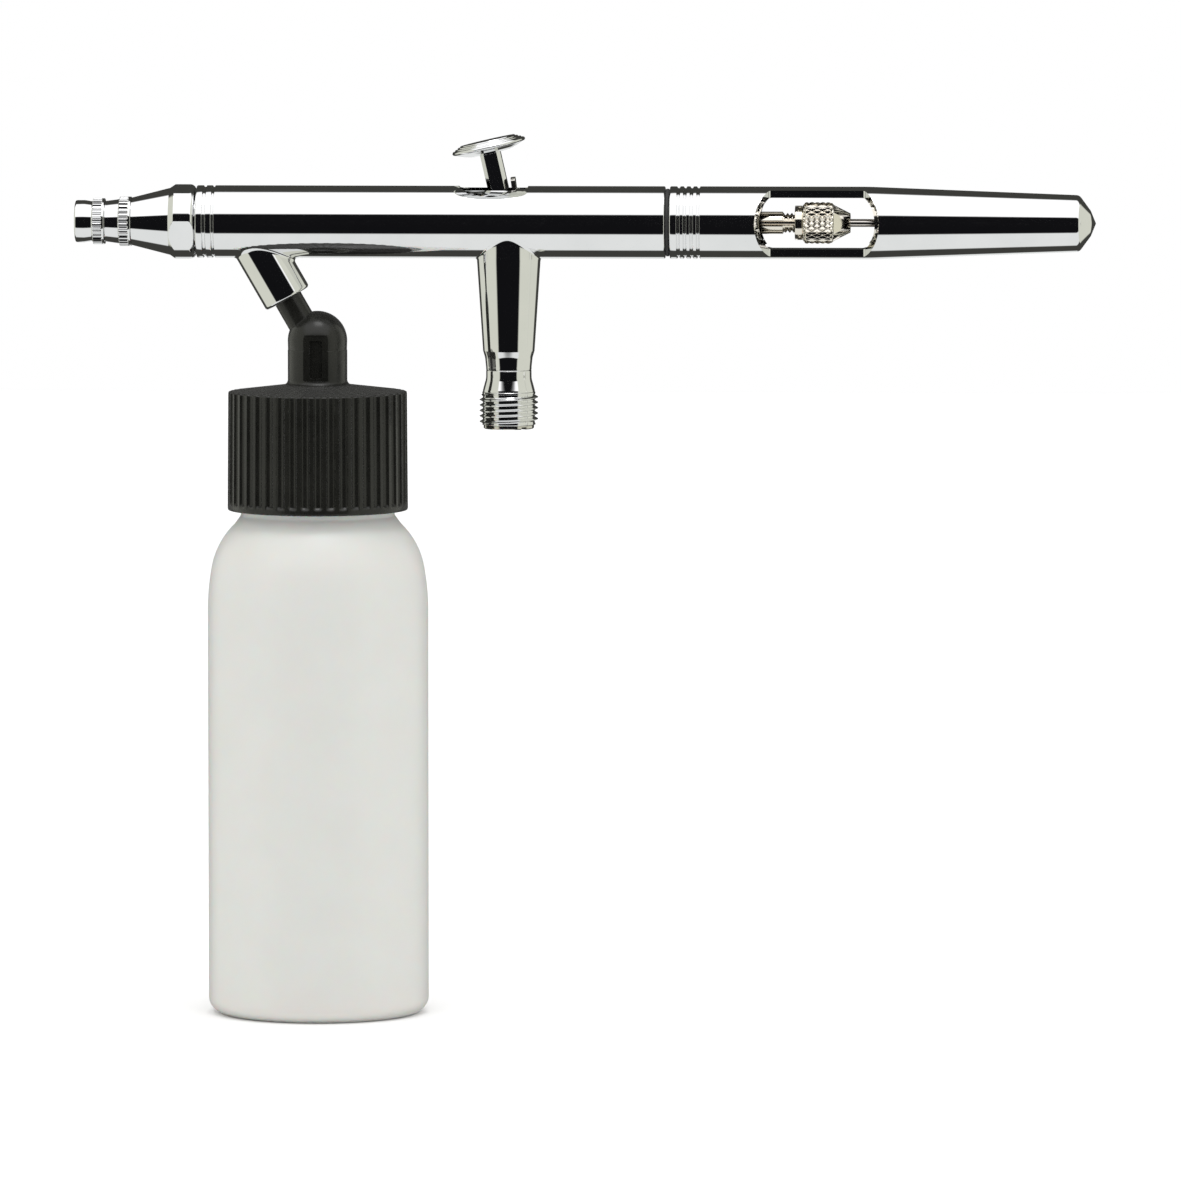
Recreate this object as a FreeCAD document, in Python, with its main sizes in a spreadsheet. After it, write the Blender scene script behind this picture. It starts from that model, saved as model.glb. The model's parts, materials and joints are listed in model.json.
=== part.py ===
import FreeCAD, Part
import math
import os

import Sketcher

# Bottle-fed double-action airbrush.  Millimetres.  +Z is up, +X runs along the barrel towards the
# handle, and the spray leaves towards -X.  The origin lies on the axis of the air stem, at the lower
# end of the air inlet thread, where a hose fitting seats.
#
# Pieces turned about the barrel are drawn as (x, radius) outlines about the barrel's axis.
# Pieces turned about an upright axis are drawn as (radius, z) outlines, z counted from the barrel's axis.

doc = FreeCAD.newDocument("airbrush_gun")

# ---------------------------------------------------------------- driving dimensions
DIMENSIONS = {
    # barrel
    "axis_height": 33.7,
    "barrel_front": -51.9,
    "barrel_rear": 26.05,
    "barrel_radius": 6.02,
    "edge_chamfer": 0.2,
    "ring_groove_depth": 0.25,
    "spigot_radius": 5.0,
    "spigot_end": 31.0,
    "spring_bore": 4.0,
    "chamber_radius": 4.6,
    "chamber_front": -9.6,
    "chamber_rear": 4.4,
    "fluid_bore": 1.7,
    "packing_bore": 2.0,
    "packing_front": -22.0,
    "head_bore": 4.2,
    "head_bore_end": -46.0,
    "running_gap": 0.05,
    # trigger slot in the top of the barrel
    "slot_front": -8.2,
    "slot_rear": 3.25,
    "slot_half_width": 2.05,
    "slot_corner": 0.6,
    "relief_front": -9.2,
    "relief_rear": 3.1,
    "relief_bow": 6.63,
    "relief_depth": 0.3,
    # head, nozzle and caps
    "head_front": -62.8,
    "head_cone_end": -56.4,
    "head_rear": -52.1,
    "head_radius": 6.18,
    "head_rear_round": 1.0,
    "head_side_flat": 5.63,
    "head_top_flat": 5.92,
    "head_flat_turn": 21.3,
    "nose_radius": 2.9,
    "nose_front": -66.0,
    "cap_tip": -72.2,
    "cap_split": -67.25,
    "needle_cap_ring": 3.82,
    "needle_cap_teeth": 32,
    "nozzle_cap_ring": 4.1,
    "nozzle_cap_teeth": 30,
    # needle and chuck
    "needle_radius": 0.66,
    "needle_tip": -71.6,
    "needle_taper_end": -58.0,
    "needle_end": 68.0,
    "guide_radius": 1.87,
    "guide_front": 2.65,
    "guide_flange_radius": 3.8,
    "guide_shoulder": 45.6,
    "guide_thread_radius": 1.66,
    "nut_front": 47.6,
    "nut_end": 56.8,
    "nut_radius": 3.45,
    "nut_flutes": 36,
    "spring_case_end": 38.0,
    # handle
    "handle_front": 26.85,
    "handle_end": 97.5,
    "handle_bore": 4.95,
    "handle_bore_end": 64.0,
    "taper_start": 59.9,
    "taper_end": 94.7,
    "taper_end_radius": 4.7,
    "handle_ring_radius": 5.62,
    "window_front": 40.95,
    "window_rear": 61.64,
    "window_half_width": 2.5,
    "window_slant": 2.5,
    # trigger and its air valve
    "pivot_x": 0.35,
    "pivot_drop": 3.4,
    "trigger_lean": 12.9,
    "shin_half_width": 1.5,
    "shin_half_thick": 1.6,
    "stem_half_width": 1.7,
    "stem_half_thick": 1.72,
    "stem_bottom": 9.0,
    "button_radius": 6.25,
    "button_height": 16.45,
    "pin_radius": 0.45,
    "piston_radius": 2.9,
    "lever_pivot_x": 2.0,
    "lever_pivot_drop": 2.4,
    "lever_lean": 7.5,
    "lever_thick": 0.7,
    # air stem and valve body
    "stem_top_radius": 5.3,
    "stem_low_radius": 4.28,
    "stem_neck_radius": 3.77,
    "stem_seam": 24.6,
    "thread_radius": 4.864,
    "thread_pitch": 0.907,
    "thread_depth": 0.5,
    # paint socket on the underside of the barrel
    "socket_x": -44.2,
    "socket_tilt": 30.0,
    "socket_radius": 4.08,
    "socket_length": 14.8,
    "socket_bore": 2.45,
    "feed_hole": 1.2,
    # bottle cap
    "pillar_x": -31.9,
    "pillar_radius": 4.95,
    "pillar_dome_z": -19.8,
    "pillar_meet_z": -21.3,
    "skirt_radius": 15.0,
    "skirt_top": -28.35,
    "skirt_bottom": -48.0,
    "skirt_bore": 13.85,
    "rib_count": 44,
    # bottle
    "bottle_radius": 18.4,
    "bottle_base": -132.2,
    "bottle_wall": 1.2,
    "neck_radius": 12.8,
    "neck_thread_radius": 13.75,
    "neck_top": -31.6,
    "tube_radius": 1.5,
    "tube_end": -127.5,
}

sheet = doc.addObject("Spreadsheet::Sheet", "Dims")
for row, (alias, number) in enumerate(DIMENSIONS.items(), start=1):
    sheet.set(f"A{row}", alias.replace("_", " "))
    sheet.set(f"B{row}", str(number))
    sheet.setAlias(f"B{row}", alias)
doc.recompute()


class Size:
    """A length known both as a number and as the spreadsheet formula that drives it."""

    def __init__(self, number, formula):
        self.number = number
        self.formula = formula

    def __add__(self, other):
        other = size(other)
        return Size(self.number + other.number, f"({self.formula} + {other.formula})")

    def __sub__(self, other):
        other = size(other)
        return Size(self.number - other.number, f"({self.formula} - {other.formula})")

    def __radd__(self, other):
        return size(other) + self

    def __rsub__(self, other):
        return size(other) - self

    def __mul__(self, factor):
        return Size(self.number * factor, f"({self.formula} * {factor})")

    def __neg__(self):
        return Size(-self.number, f"(-1 * {self.formula})")


def size(value):
    """The named driving dimension, a Size as it is, or a plain number."""
    if isinstance(value, Size):
        return value
    if isinstance(value, str):
        return Size(DIMENSIONS[value], f"Dims.{value}")
    return Size(float(value), f"{float(value):g}")


barrel_radius = size("barrel_radius")
running_gap = size("running_gap")


# ---------------------------------------------------------------- modelling helpers
def place(piece, x=0.0, z="axis_height", lean=None):
    """Put a piece's local origin at (x, 0, z), with its top leaning towards -X by the named angle."""
    x, z = size(x), size(z)
    turn = FreeCAD.Rotation(FreeCAD.Vector(0, -1, 0), size(lean).number if lean else 0)
    piece.Placement = FreeCAD.Placement(FreeCAD.Vector(x.number, 0, z.number), turn)
    piece.setExpression("Placement.Base.x", x.formula)
    piece.setExpression("Placement.Base.z", z.formula)
    if lean:
        piece.setExpression("Placement.Rotation.Angle", f"{size(lean).formula} * 1 deg")
    return piece


def new_body(label, **where):
    """An empty body, placed by default on the barrel's axis above the part's origin."""
    body = doc.addObject("PartDesign::Body", label)
    body.Label = label
    return place(body, **where)


def sketch_on(body, plane, offset=0.0):
    """An empty sketch on one of the body's own origin planes, moved along its normal by offset."""
    sketch = body.newObject("Sketcher::SketchObject", f"{body.Name}_sketch")
    face = next(f for f in body.Origin.OriginFeatures if f.Role == plane)
    sketch.AttachmentSupport = [(face, "")]
    sketch.MapMode = "FlatFace"
    sketch.setExpression("AttachmentOffset.Base.z", size(offset).formula)
    return sketch


def pin_point(sketch, geometry, end, x, y):
    """Hold one end of an edge at (x, y) with dimensions driven by the sheet."""
    for kind, value, axis in (("DistanceX", x, -2), ("DistanceY", y, -1)):
        if value.formula == "0":
            sketch.addConstraint(Sketcher.Constraint("PointOnObject", geometry, end, axis))
            continue
        index = sketch.addConstraint(Sketcher.Constraint(kind, -1, 1, geometry, end, value.number))
        sketch.setExpression(f"Constraints[{index}]", value.formula)


def arc_between(start, end, radius, turn):
    """The short arc from start to end; turn is +1 for anticlockwise and -1 for clockwise."""
    middle = (start + end) * 0.5
    chord = end - start
    side = FreeCAD.Vector(-chord.y, chord.x, 0).normalize()
    height = math.sqrt(max(radius ** 2 - (chord.Length / 2) ** 2, 0.0))
    centre = middle + side * (turn * height)
    first, last = (start, end) if turn > 0 else (end, start)
    angles = [math.atan2(p.y - centre.y, p.x - centre.x) for p in (first, last)]
    circle = Part.Circle(centre, FreeCAD.Vector(0, 0, 1), radius)
    return Part.ArcOfCircle(circle, angles[0], angles[1])


def draw_outline(sketch, outline):
    """A closed outline.  Each point is (x, y), or (x, y, radius, turn) where an arc arrives at it."""
    points = [(size(p[0]), size(p[1]), *p[2:]) for p in outline]
    vectors = [FreeCAD.Vector(p[0].number, p[1].number, 0) for p in points]
    ends = []
    for i, start in enumerate(vectors):
        target = points[(i + 1) % len(points)]
        end = vectors[(i + 1) % len(points)]
        if len(target) == 2:
            geometry = sketch.addGeometry(Part.LineSegment(start, end), False)
            ends.append((geometry, 1, 2))
            continue
        radius, turn = size(target[2]), target[3]
        geometry = sketch.addGeometry(arc_between(start, end, radius.number, turn), False)
        ends.append((geometry, 1, 2) if turn > 0 else (geometry, 2, 1))
        index = sketch.addConstraint(Sketcher.Constraint("Radius", geometry, radius.number))
        sketch.setExpression(f"Constraints[{index}]", radius.formula)
    for i, (geometry, first, _) in enumerate(ends):
        before, _, last = ends[i - 1]
        sketch.addConstraint(Sketcher.Constraint("Coincident", before, last, geometry, first))
        pin_point(sketch, geometry, first, points[i][0], points[i][1])
    return sketch


def circle_sketch(sketch, x, y, radius):
    """One circle whose centre and radius are driven by the sheet."""
    x, y, radius = size(x), size(y), size(radius)
    circle = Part.Circle(FreeCAD.Vector(x.number, y.number, 0), FreeCAD.Vector(0, 0, 1), radius.number)
    geometry = sketch.addGeometry(circle, False)
    pin_point(sketch, geometry, 3, x, y)
    index = sketch.addConstraint(Sketcher.Constraint("Radius", geometry, radius.number))
    sketch.setExpression(f"Constraints[{index}]", radius.formula)
    return sketch


def revolve(body, axis, outline, groove=False):
    """Turn an outline in the XZ plane about the body's X axis ("H_Axis") or Z axis ("V_Axis")."""
    sketch = draw_outline(sketch_on(body, "XZ_Plane"), outline)
    kind = "Groove" if groove else "Revolution"
    feature = body.newObject(f"PartDesign::{kind}", f"{body.Name}_{kind.lower()}")
    feature.Profile = sketch
    feature.ReferenceAxis = (sketch, [axis])
    feature.Angle = 360
    return feature


def turned_x(label, outline, **where):
    """A body turned about the barrel's axis from an (x, radius) outline."""
    body = new_body(label, **where)
    revolve(body, "H_Axis", outline)
    return body


def turned_z(label, outline, **where):
    """A body turned about an upright axis from a (radius, z) outline."""
    body = new_body(label, **where)
    revolve(body, "V_Axis", outline)
    return body


def pad(body, sketch, length, both_ways=False, backwards=False):
    """Raise a sketch by length, centred on it when both_ways."""
    feature = body.newObject("PartDesign::Pad", f"{body.Name}_pad")
    feature.Profile = sketch
    feature.setExpression("Length", size(length).formula)
    feature.Midplane = both_ways
    feature.Reversed = backwards
    return feature


def pocket(body, sketch, length=None, both_ways=False, backwards=False):
    """Cut a sketch against its normal by length, or right through the body both ways."""
    feature = body.newObject("PartDesign::Pocket", f"{body.Name}_pocket")
    feature.Profile = sketch
    if length is None:
        feature.Type = "ThroughAll"
    else:
        feature.setExpression("Length", size(length).formula)
    feature.Midplane = both_ways
    feature.Reversed = backwards
    return feature


def around(body, feature, count):
    """Repeat a feature evenly about its own sketch's normal."""
    doc.recompute()
    pattern = body.newObject("PartDesign::PolarPattern", f"{body.Name}_pattern")
    pattern.Originals = [feature]
    pattern.Axis = (feature.Profile[0], ["N_Axis"])
    pattern.Angle = 360
    pattern.setExpression("Occurrences", size(count).formula)
    body.Tip = pattern
    return pattern


def rectangle(left, right, low, high, corner=None):
    """The outline of a rectangle, with rounded corners when corner is given."""
    left, right, low, high = size(left), size(right), size(low), size(high)
    if corner is None:
        return [(left, low), (right, low), (right, high), (left, high)]
    corner = size(corner)
    return [
        (left + corner, low, corner, 1), (right - corner, low),
        (right, low + corner, corner, 1), (right, high - corner),
        (right - corner, high, corner, 1), (left + corner, high),
        (left, high - corner, corner, 1), (left, low + corner),
    ]


def cut(label, base, *tools):
    """The base with each tool taken away; the last cut is the piece itself."""
    for number, tool in enumerate(tools, start=1):
        last = number == len(tools)
        result = doc.addObject("Part::Cut", label if last else f"{label}_cut_{number}")
        result.Base = base
        result.Tool = tool
        base = result
    base.Label = label
    return base


def drill(name, radius, top, bottom, **where):
    """A cylinder along a local Z axis from height bottom to height top, used as a cutting tool."""
    top, bottom = size(top), size(bottom)
    return turned_z(name, [(0, bottom), (radius, bottom), (radius, top), (0, top)], **where)


def barrel_outside(name, front, rear):
    """A solid cylinder of the barrel's outer size, for trimming pieces brazed to it."""
    return turned_x(name, [(front, 0), (rear, 0), (rear, barrel_radius), (front, barrel_radius)])


def spring(label, x, z, radius, wire, length, turns, along):
    """A compression spring from (x, 0, z), running along +X or along +Z. Its wire has sixteen sides."""
    helix = doc.addObject("Part::Helix", f"{label}_helix")
    helix.setExpression("Radius", size(radius).formula)
    helix.setExpression("Height", size(length).formula)
    helix.setExpression("Pitch", f"{size(length).formula} / {turns}")
    section = doc.addObject("Part::RegularPolygon", f"{label}_wire")
    section.Polygon = 16
    section.setExpression("Circumradius", size(wire).formula)
    turn = FreeCAD.Rotation(FreeCAD.Vector(1, 0, 0), 90)
    section.Placement = FreeCAD.Placement(FreeCAD.Vector(size(radius).number, 0, 0), turn)
    section.setExpression("Placement.Base.x", size(radius).formula)
    coil = doc.addObject("Part::Sweep", label)
    coil.Sections = [section]
    coil.Spine = (helix, [])
    coil.Solid = True
    coil.Frenet = True
    x, z = size(x), size(z)
    turn = FreeCAD.Rotation(FreeCAD.Vector(0, 1, 0), 90 if along == "+X" else 0)
    coil.Placement = FreeCAD.Placement(FreeCAD.Vector(x.number, 0, z.number), turn)
    coil.setExpression("Placement.Base.x", x.formula)
    coil.setExpression("Placement.Base.z", z.formula)
    coil.Label = label
    return coil


# ---------------------------------------------------------------- barrel and what is brazed to it
def make_barrel():
    """The gun body: a tube with two ring grooves, a trigger slot and a rear spigot for the handle."""
    front, rear, radius = size("barrel_front"), size("barrel_rear"), barrel_radius
    chamfer, groove = size("edge_chamfer"), radius - "ring_groove_depth"
    body = turned_x("barrel_blank", [
        (front, "head_bore"), (front, radius - chamfer), (front + chamfer, radius),
        (front + 1.1, radius), (front + 1.2, groove), (front + 1.6, groove), (front + 1.7, radius),
        (front + 2.6, radius), (front + 2.7, groove), (front + 3.0, groove), (front + 3.1, radius),
        (rear - chamfer, radius), (rear, radius - chamfer),
        (rear, "spigot_radius"), ("spigot_end", "spigot_radius"), ("spigot_end", "spring_bore"),
        ("chamber_rear", "spring_bore"), ("chamber_rear", "chamber_radius"),
        ("chamber_front", "chamber_radius"), ("chamber_front", "packing_bore"),
        ("packing_front", "packing_bore"), ("packing_front", "fluid_bore"),
        ("head_bore_end", "fluid_bore"), ("head_bore_end", "head_bore"),
    ])
    half = size("slot_half_width")
    slot = rectangle("slot_front", "slot_rear", -half, half, "slot_corner")
    pocket(body, draw_outline(sketch_on(body, "XY_Plane"), slot), barrel_radius + 1, backwards=True)
    piston_bore = circle_sketch(sketch_on(body, "XY_Plane"), 0, 0, size("piston_radius") + running_gap)
    pocket(body, piston_bore, barrel_radius + 1)
    air_passage = circle_sketch(sketch_on(body, "YZ_Plane", "head_bore_end"), 2.6, 2.6, 0.6)
    pocket(body, air_passage, size("chamber_front") - "head_bore_end", backwards=True)

    # bow-shaped relief on the near side of the slot, cut to a constant depth below the surface
    prism = new_body("relief_prism")
    bow = [("relief_front", 0), ("relief_rear", 0, "relief_bow", 1)]
    pad(prism, draw_outline(sketch_on(prism, "XY_Plane"), bow), barrel_radius + 1)
    core = barrel_radius - "relief_depth"
    core = turned_x("relief_core", [("barrel_front", 0), (rear, 0), (rear, core), ("barrel_front", core)])
    relief = cut("slot_relief", prism, core)
    feed = drill("barrel_feed_drill", "feed_hole", 0, -8, x="socket_x", lean="socket_tilt")
    return cut("barrel", body, relief, feed)


def make_air_stem():
    """Tapered tube brazed under the barrel, which holds the air valve's piston."""
    bore, seam = size("piston_radius") + running_gap, -size("stem_seam")
    blank = turned_z("air_stem_blank", [
        (bore, -4), ("stem_top_radius", -4), ("stem_top_radius", -6), ("stem_low_radius", seam + 3.2),
        (size("stem_neck_radius") + 0.05, seam + 0.6, 3.6, 1), ("stem_neck_radius", seam), (bore, seam),
    ])
    return cut("air_stem", blank, barrel_outside("stem_trim", -9, 9))


def make_paint_socket():
    """Short tube brazed to the barrel's underside at a slant; the bottle's spigot plugs into it."""
    outer, mouth, bore = size("socket_radius"), -size("socket_length"), size("socket_bore")
    blank = turned_z("paint_socket_blank", [
        ("feed_hole", -3), (outer, -3), (outer, mouth + 0.25), (outer - 0.25, mouth),
        (bore + 0.25, mouth), (bore, mouth + 0.25), (bore, mouth + 7), ("feed_hole", mouth + 7),
    ], x="socket_x", lean="socket_tilt")
    return cut("paint_socket", blank, barrel_outside("socket_trim", -60, -28))


# ---------------------------------------------------------------- nozzle end
def make_head():
    """Head that screws into the barrel: a threaded nose, a cone, four flats and a shank."""
    front, cone_end, rear = size("head_front"), size("head_cone_end"), size("head_rear")
    nose, shank_end = size("nose_front"), size("head_bore_end") - 0.5
    radius, corner = size("head_radius"), size("head_rear_round")
    body = turned_x("head", [
        (nose, 2.15), (nose, "nose_radius"), (front, "nose_radius"), (front, 3.95),
        (cone_end, 5.58), (cone_end + 0.9, radius), (rear - corner, radius),
        (rear, radius - corner, corner, -1), (rear, size("head_bore") - running_gap),
        (shank_end, size("head_bore") - running_gap), (shank_end, 1.5), (-59.5, 1.5), (-60, 2.15),
    ])
    for distance, upright in (("head_side_flat", 90), ("head_top_flat", 0)):
        turn = size("head_flat_turn") + upright
        slab = draw_outline(sketch_on(body, "YZ_Plane", cone_end),
                            rectangle(-4, 4, distance, size(distance) + 2))
        slab.AttachmentOffset = FreeCAD.Placement(
            FreeCAD.Vector(0, 0, cone_end.number), FreeCAD.Rotation(FreeCAD.Vector(0, 0, 1), turn.number))
        slab.setExpression("AttachmentOffset.Base.z", cone_end.formula)
        slab.setExpression("AttachmentOffset.Rotation.Angle", f"{turn.formula} * 1 deg")
        around(body, pocket(body, slab, rear - cone_end, backwards=True), 2)
    holes = circle_sketch(sketch_on(body, "YZ_Plane", nose), 2.52, 0, 0.28)
    around(body, pocket(body, holes, shank_end - nose, backwards=True), 6)
    return body


def make_head_seal():
    """Ring that seals the fluid way between head and barrel."""
    end = size("head_bore_end")
    return turned_x("head_seal", [(end - 0.48, 1.5), (end - 0.02, 1.5), (end - 0.02, 2.0), (end - 0.48, 2.0)])


def make_fluid_nozzle():
    """Cone-ended nozzle that the needle seats in."""
    return turned_x("fluid_nozzle", [
        (-70.3, 0.2), (-70.3, 0.45), (-66.8, 1.95), (-66.6, 2.1), (-60.05, 2.1), (-59.6, 1.6),
        (-59.6, 0.76), (-60.5, 0.62),
    ])


def knurled_ring(body, start, end, radius, depth, teeth):
    """Straight teeth cut round a turned ring between two places along the barrel's axis."""
    radius = size(radius)
    half = math.pi * radius.number / size(teeth).number * 0.36
    notch = draw_outline(sketch_on(body, "YZ_Plane", start), [
        (-half, radius + 0.1), (0, radius - depth), (half, radius + 0.1),
    ])
    return around(body, pocket(body, notch, size(end) - start, backwards=True), teeth)


def make_nozzle_cap():
    """Air cap that screws over the nozzle, with a toothed ring at its rear edge."""
    front, split, ring = size("head_front"), size("cap_split"), size("nozzle_cap_ring")
    bore = size("nose_radius") + running_gap
    body = turned_x("nozzle_cap", [
        (-69.9, 0.9), (-69.9, 2.45), (-69.75, 2.6), (split, 2.6), (split, 3.35), (front - 2, 3.7),
        (front - 1.9, ring), (front - 0.15, ring), (front - 0.02, ring - 0.12), (front - 0.02, bore),
        (-66, bore), (-67.3, 2.0),
    ])
    knurled_ring(body, front - 2, front - 0.45, ring, 0.28, "nozzle_cap_teeth")
    return body


def make_needle_cap():
    """Open-ended crown that guards the needle's tip, with a toothed ring."""
    tip, split, ring = size("cap_tip"), size("cap_split"), size("needle_cap_ring")
    body = turned_x("needle_cap", [
        (tip, 2.0), (tip, 3.3), (tip + 0.25, 3.55), (tip + 1.6, 3.5), (tip + 2.9, 3.3), (tip + 3.0, ring),
        (split - 0.15, ring), (split - 0.02, ring - 0.12), (split - 0.02, 2.65), (-70, 2.65), (-70.3, 2.3),
    ])
    knurled_ring(body, tip + 2.9, split - 0.4, ring, 0.28, "needle_cap_teeth")
    return body


def make_needle_packing():
    """Seal that the needle slides through, behind the paint chamber."""
    front = size("packing_front")
    return turned_x("needle_packing", [
        (front, 0.7), (front, 1.95), (front + 2.4, 1.95), (front + 2.4, 0.7),
    ])


def make_packing_screw():
    """Slotted screw that presses on the needle packing."""
    front = size("packing_front") + 2.5
    end = size("chamber_front") - 2.4
    body = turned_x("packing_screw", [(front, 0.78), (front, 1.95), (end, 1.95), (end, 0.78)])
    slot = draw_outline(sketch_on(body, "YZ_Plane", end), rectangle(-3, 3, -0.3, 0.3))
    pocket(body, slot, 0.8)
    return body


# ---------------------------------------------------------------- needle and its chuck
def make_needle():
    """Tapered needle that runs from the nozzle into the handle."""
    return turned_x("needle", [
        ("needle_tip", 0), ("needle_end", 0), ("needle_end", size("needle_radius") - 0.2),
        (size("needle_end") - 0.3, "needle_radius"), ("needle_taper_end", "needle_radius"),
        ("needle_tip", 0.03),
    ])


def make_chucking_guide():
    """Tube that carries the needle: a flange for the spring, a threaded end and four jaws."""
    front, shoulder = size("guide_front"), size("guide_shoulder")
    flange, tube, thread = size("guide_flange_radius"), size("guide_radius"), size("guide_thread_radius")
    outline = [
        (front, 0.72), (front, flange), (front + 1.5, flange), (front + 1.5, tube),
        (shoulder, tube), (shoulder + 0.1, thread - 0.3),
    ]
    for turn in range(5):
        start = shoulder + (0.15 + 0.7 * turn)
        outline += [(start + 0.1, thread - 0.3), (start + 0.3, thread), (start + 0.4, thread),
                    (start + 0.6, thread - 0.3)]
    outline += [(shoulder + 4.3, thread - 0.1), (shoulder + 4.9, 1.3), (shoulder + 4.9, 0.72)]
    body = turned_x("chucking_guide", outline)
    slit = draw_outline(sketch_on(body, "YZ_Plane", shoulder + 5), rectangle(-3, 3, -0.35, 0.35))
    around(body, pocket(body, slit, 10.5), 4)
    return body


def make_chuck_nut():
    """Knurled nut that closes the jaws on the needle."""
    front, end, radius = size("nut_front"), size("nut_end"), size("nut_radius")
    knurl_end = front + 6.45
    bore = size("guide_thread_radius") + running_gap
    body = turned_x("chuck_nut", [
        (front, bore), (front, 2.7), (front + 0.15, 2.86), (front + 1.2, 2.86), (front + 1.3, 3.0),
        (front + 1.6, radius), (knurl_end - 0.4, radius), (knurl_end, 3.0), (end - 0.1, 1.65), (end, 1.55),
        (end, 0.75), (front + 4.7, 0.75), (front + 3.4, bore),
    ])
    knurled_ring(body, front + 1.3, knurl_end, radius, 0.25, "nut_flutes")
    return body


def make_spring_case():
    """Sleeve screwed into the rear of the barrel, which the needle spring pushes against."""
    end = size("spring_case_end")
    outside, collar = size("spring_bore") - running_gap, size("spigot_end") + 0.2
    return turned_x("spring_case", [
        (6.5, 3.4), (6.5, outside - 0.2), (6.7, outside), (collar, outside), (collar, 4.4),
        (end - 0.3, 4.4), (end, 4.1), (end, size("guide_radius") + 0.06),
        (end - 1.5, size("guide_radius") + 0.06), (end - 1.5, 3.4),
    ])


def make_needle_spring():
    """Coil that pushes the needle forward, between the guide's flange and the spring case."""
    start = size("guide_front") + 1.85
    length = size("spring_case_end") - start - 1.85
    return spring("needle_spring", start, "axis_height", 2.9, 0.25, length, 15, "+X")


# ---------------------------------------------------------------- handle
def make_handle():
    """Hollow handle with four ring grooves, a window right through it and a tapered tail."""
    front, end, radius = size("handle_front"), size("handle_end"), barrel_radius
    screw_bore, bore = size("spigot_radius") + running_gap, size("handle_bore")
    taper_end, taper_radius = size("taper_end"), size("taper_end_radius")
    outline = [(front, screw_bore), (front, radius - 0.25), (front + 0.25, radius)]
    for ring in range(4):
        start = front + (1.15 + 1.1 * ring)
        outline += [(start, radius), (start + 0.2, radius - 0.3), (start + 0.4, radius - 0.3), (start + 0.6, radius)]
    outline += [
        ("taper_start", radius), (taper_end, taper_radius), (taper_end + 0.7, taper_radius - 0.65, 1.3, -1),
        (end - 0.65, 2.0), (end, 0, 3.2, -1),
        (72, 0), (72, 1.2), ("handle_bore_end", 1.2), (size("handle_bore_end") - 1.4, bore),
        (31.4, bore), (31.3, screw_bore),
    ]
    body = turned_x("handle", outline)
    left, right, slant = size("window_front"), size("window_rear"), size("window_slant")
    for side in (1, -1):
        rail, surface, outside = (size(r) * side for r in ("window_half_width", radius, radius + 1))
        window = draw_outline(sketch_on(body, "XY_Plane"), [
            (left, outside), (left, surface), (left + slant, rail), (right - slant, rail),
            (right, surface), (right, outside),
        ])
        pocket(body, window, both_ways=True)
    return body


def make_handle_ring():
    """Dark ring in the gap between barrel and handle."""
    front, rear = size("barrel_rear") + 0.02, size("handle_front") - 0.02
    inner, outer = size("spigot_radius") + 0.02, size("handle_ring_radius")
    return turned_x("handle_ring", [
        (front, inner), (front, outer - 0.2), (front + 0.2, outer), (rear - 0.2, outer),
        (rear, outer - 0.2), (rear, inner),
    ])


# ---------------------------------------------------------------- air valve
def make_valve_body():
    """Air inlet fitting: a waisted neck above the hose thread, with the valve's seat inside."""
    seam, crest = -size("stem_seam"), size("thread_radius")
    root, pitch = crest - "thread_depth", size("thread_pitch")
    bottom = -size("axis_height")
    spigot, neck = size("piston_radius"), size("stem_neck_radius")
    outline = [
        (1.0, seam + 4.5), (spigot - 0.2, seam + 4.5), (spigot, seam + 4.3), (spigot, seam),
        (neck, seam), (neck, seam - 0.6), (4.28, seam - 3.6, 8.0, 1), (4.4, seam - 3.65),
        (4.4, seam - 3.9), (root, seam - 3.95),
    ]
    for turn in range(5):
        low = bottom + pitch * (4.45 - turn)
        outline += [(root, low + 0.52), (crest, low + 0.28), (crest, low), (root, low - 0.24)]
    outline = outline[:-1] + [
        (crest, bottom), (2.65, bottom), (2.65, bottom + 1.15), (2.1, bottom + 1.15),
        (2.1, seam - 2.75), (1.0, seam - 2.75),
    ]
    return turned_z("valve_body", outline)


def make_valve_piston():
    """Piston that the trigger presses down; the clevis in its top holds the trigger's pin."""
    radius, top = size("piston_radius"), -size("pivot_drop") + 0.8
    body = turned_z("valve_piston", [
        (0, top), (radius, top), (radius, -11.2), (2.05, -11.2), (2.05, -12.3), (radius, -12.3),
        (radius, -14), (0, -14),
    ][::-1])
    clevis = rectangle(-1.1, 1.1, top - 2.6, top + 1)
    pocket(body, draw_outline(sketch_on(body, "YZ_Plane"), clevis), both_ways=True)
    pin_hole = circle_sketch(sketch_on(body, "XZ_Plane"), "pivot_x", -size("pivot_drop"), "pin_radius")
    pocket(body, pin_hole, both_ways=True)
    return body


def make_trigger_pin():
    """Cross pin through the piston's clevis, on which the trigger rocks."""
    body = new_body("trigger_pin")
    pin = circle_sketch(sketch_on(body, "XZ_Plane"), "pivot_x", -size("pivot_drop"), "pin_radius")
    pad(body, pin, 5.6, both_ways=True)
    return body


def make_piston_seal():
    """O-ring in the piston's groove."""
    ring = doc.addObject("Part::Torus", "piston_seal")
    ring.Radius1 = 2.5
    ring.Radius2 = 0.43
    ring.Label = "piston_seal"
    return place(ring, z=size("axis_height") - 11.75)


def make_valve_rod():
    """Valve stem with the disc that closes the air way."""
    return turned_z("valve_rod", [
        (0, -31.8), (0.55, -31.8), (0.55, -28.9), (1.6, -28.9), (1.6, -27.9), (0.55, -27.9),
        (0.55, -14), (0, -14),
    ])


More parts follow.
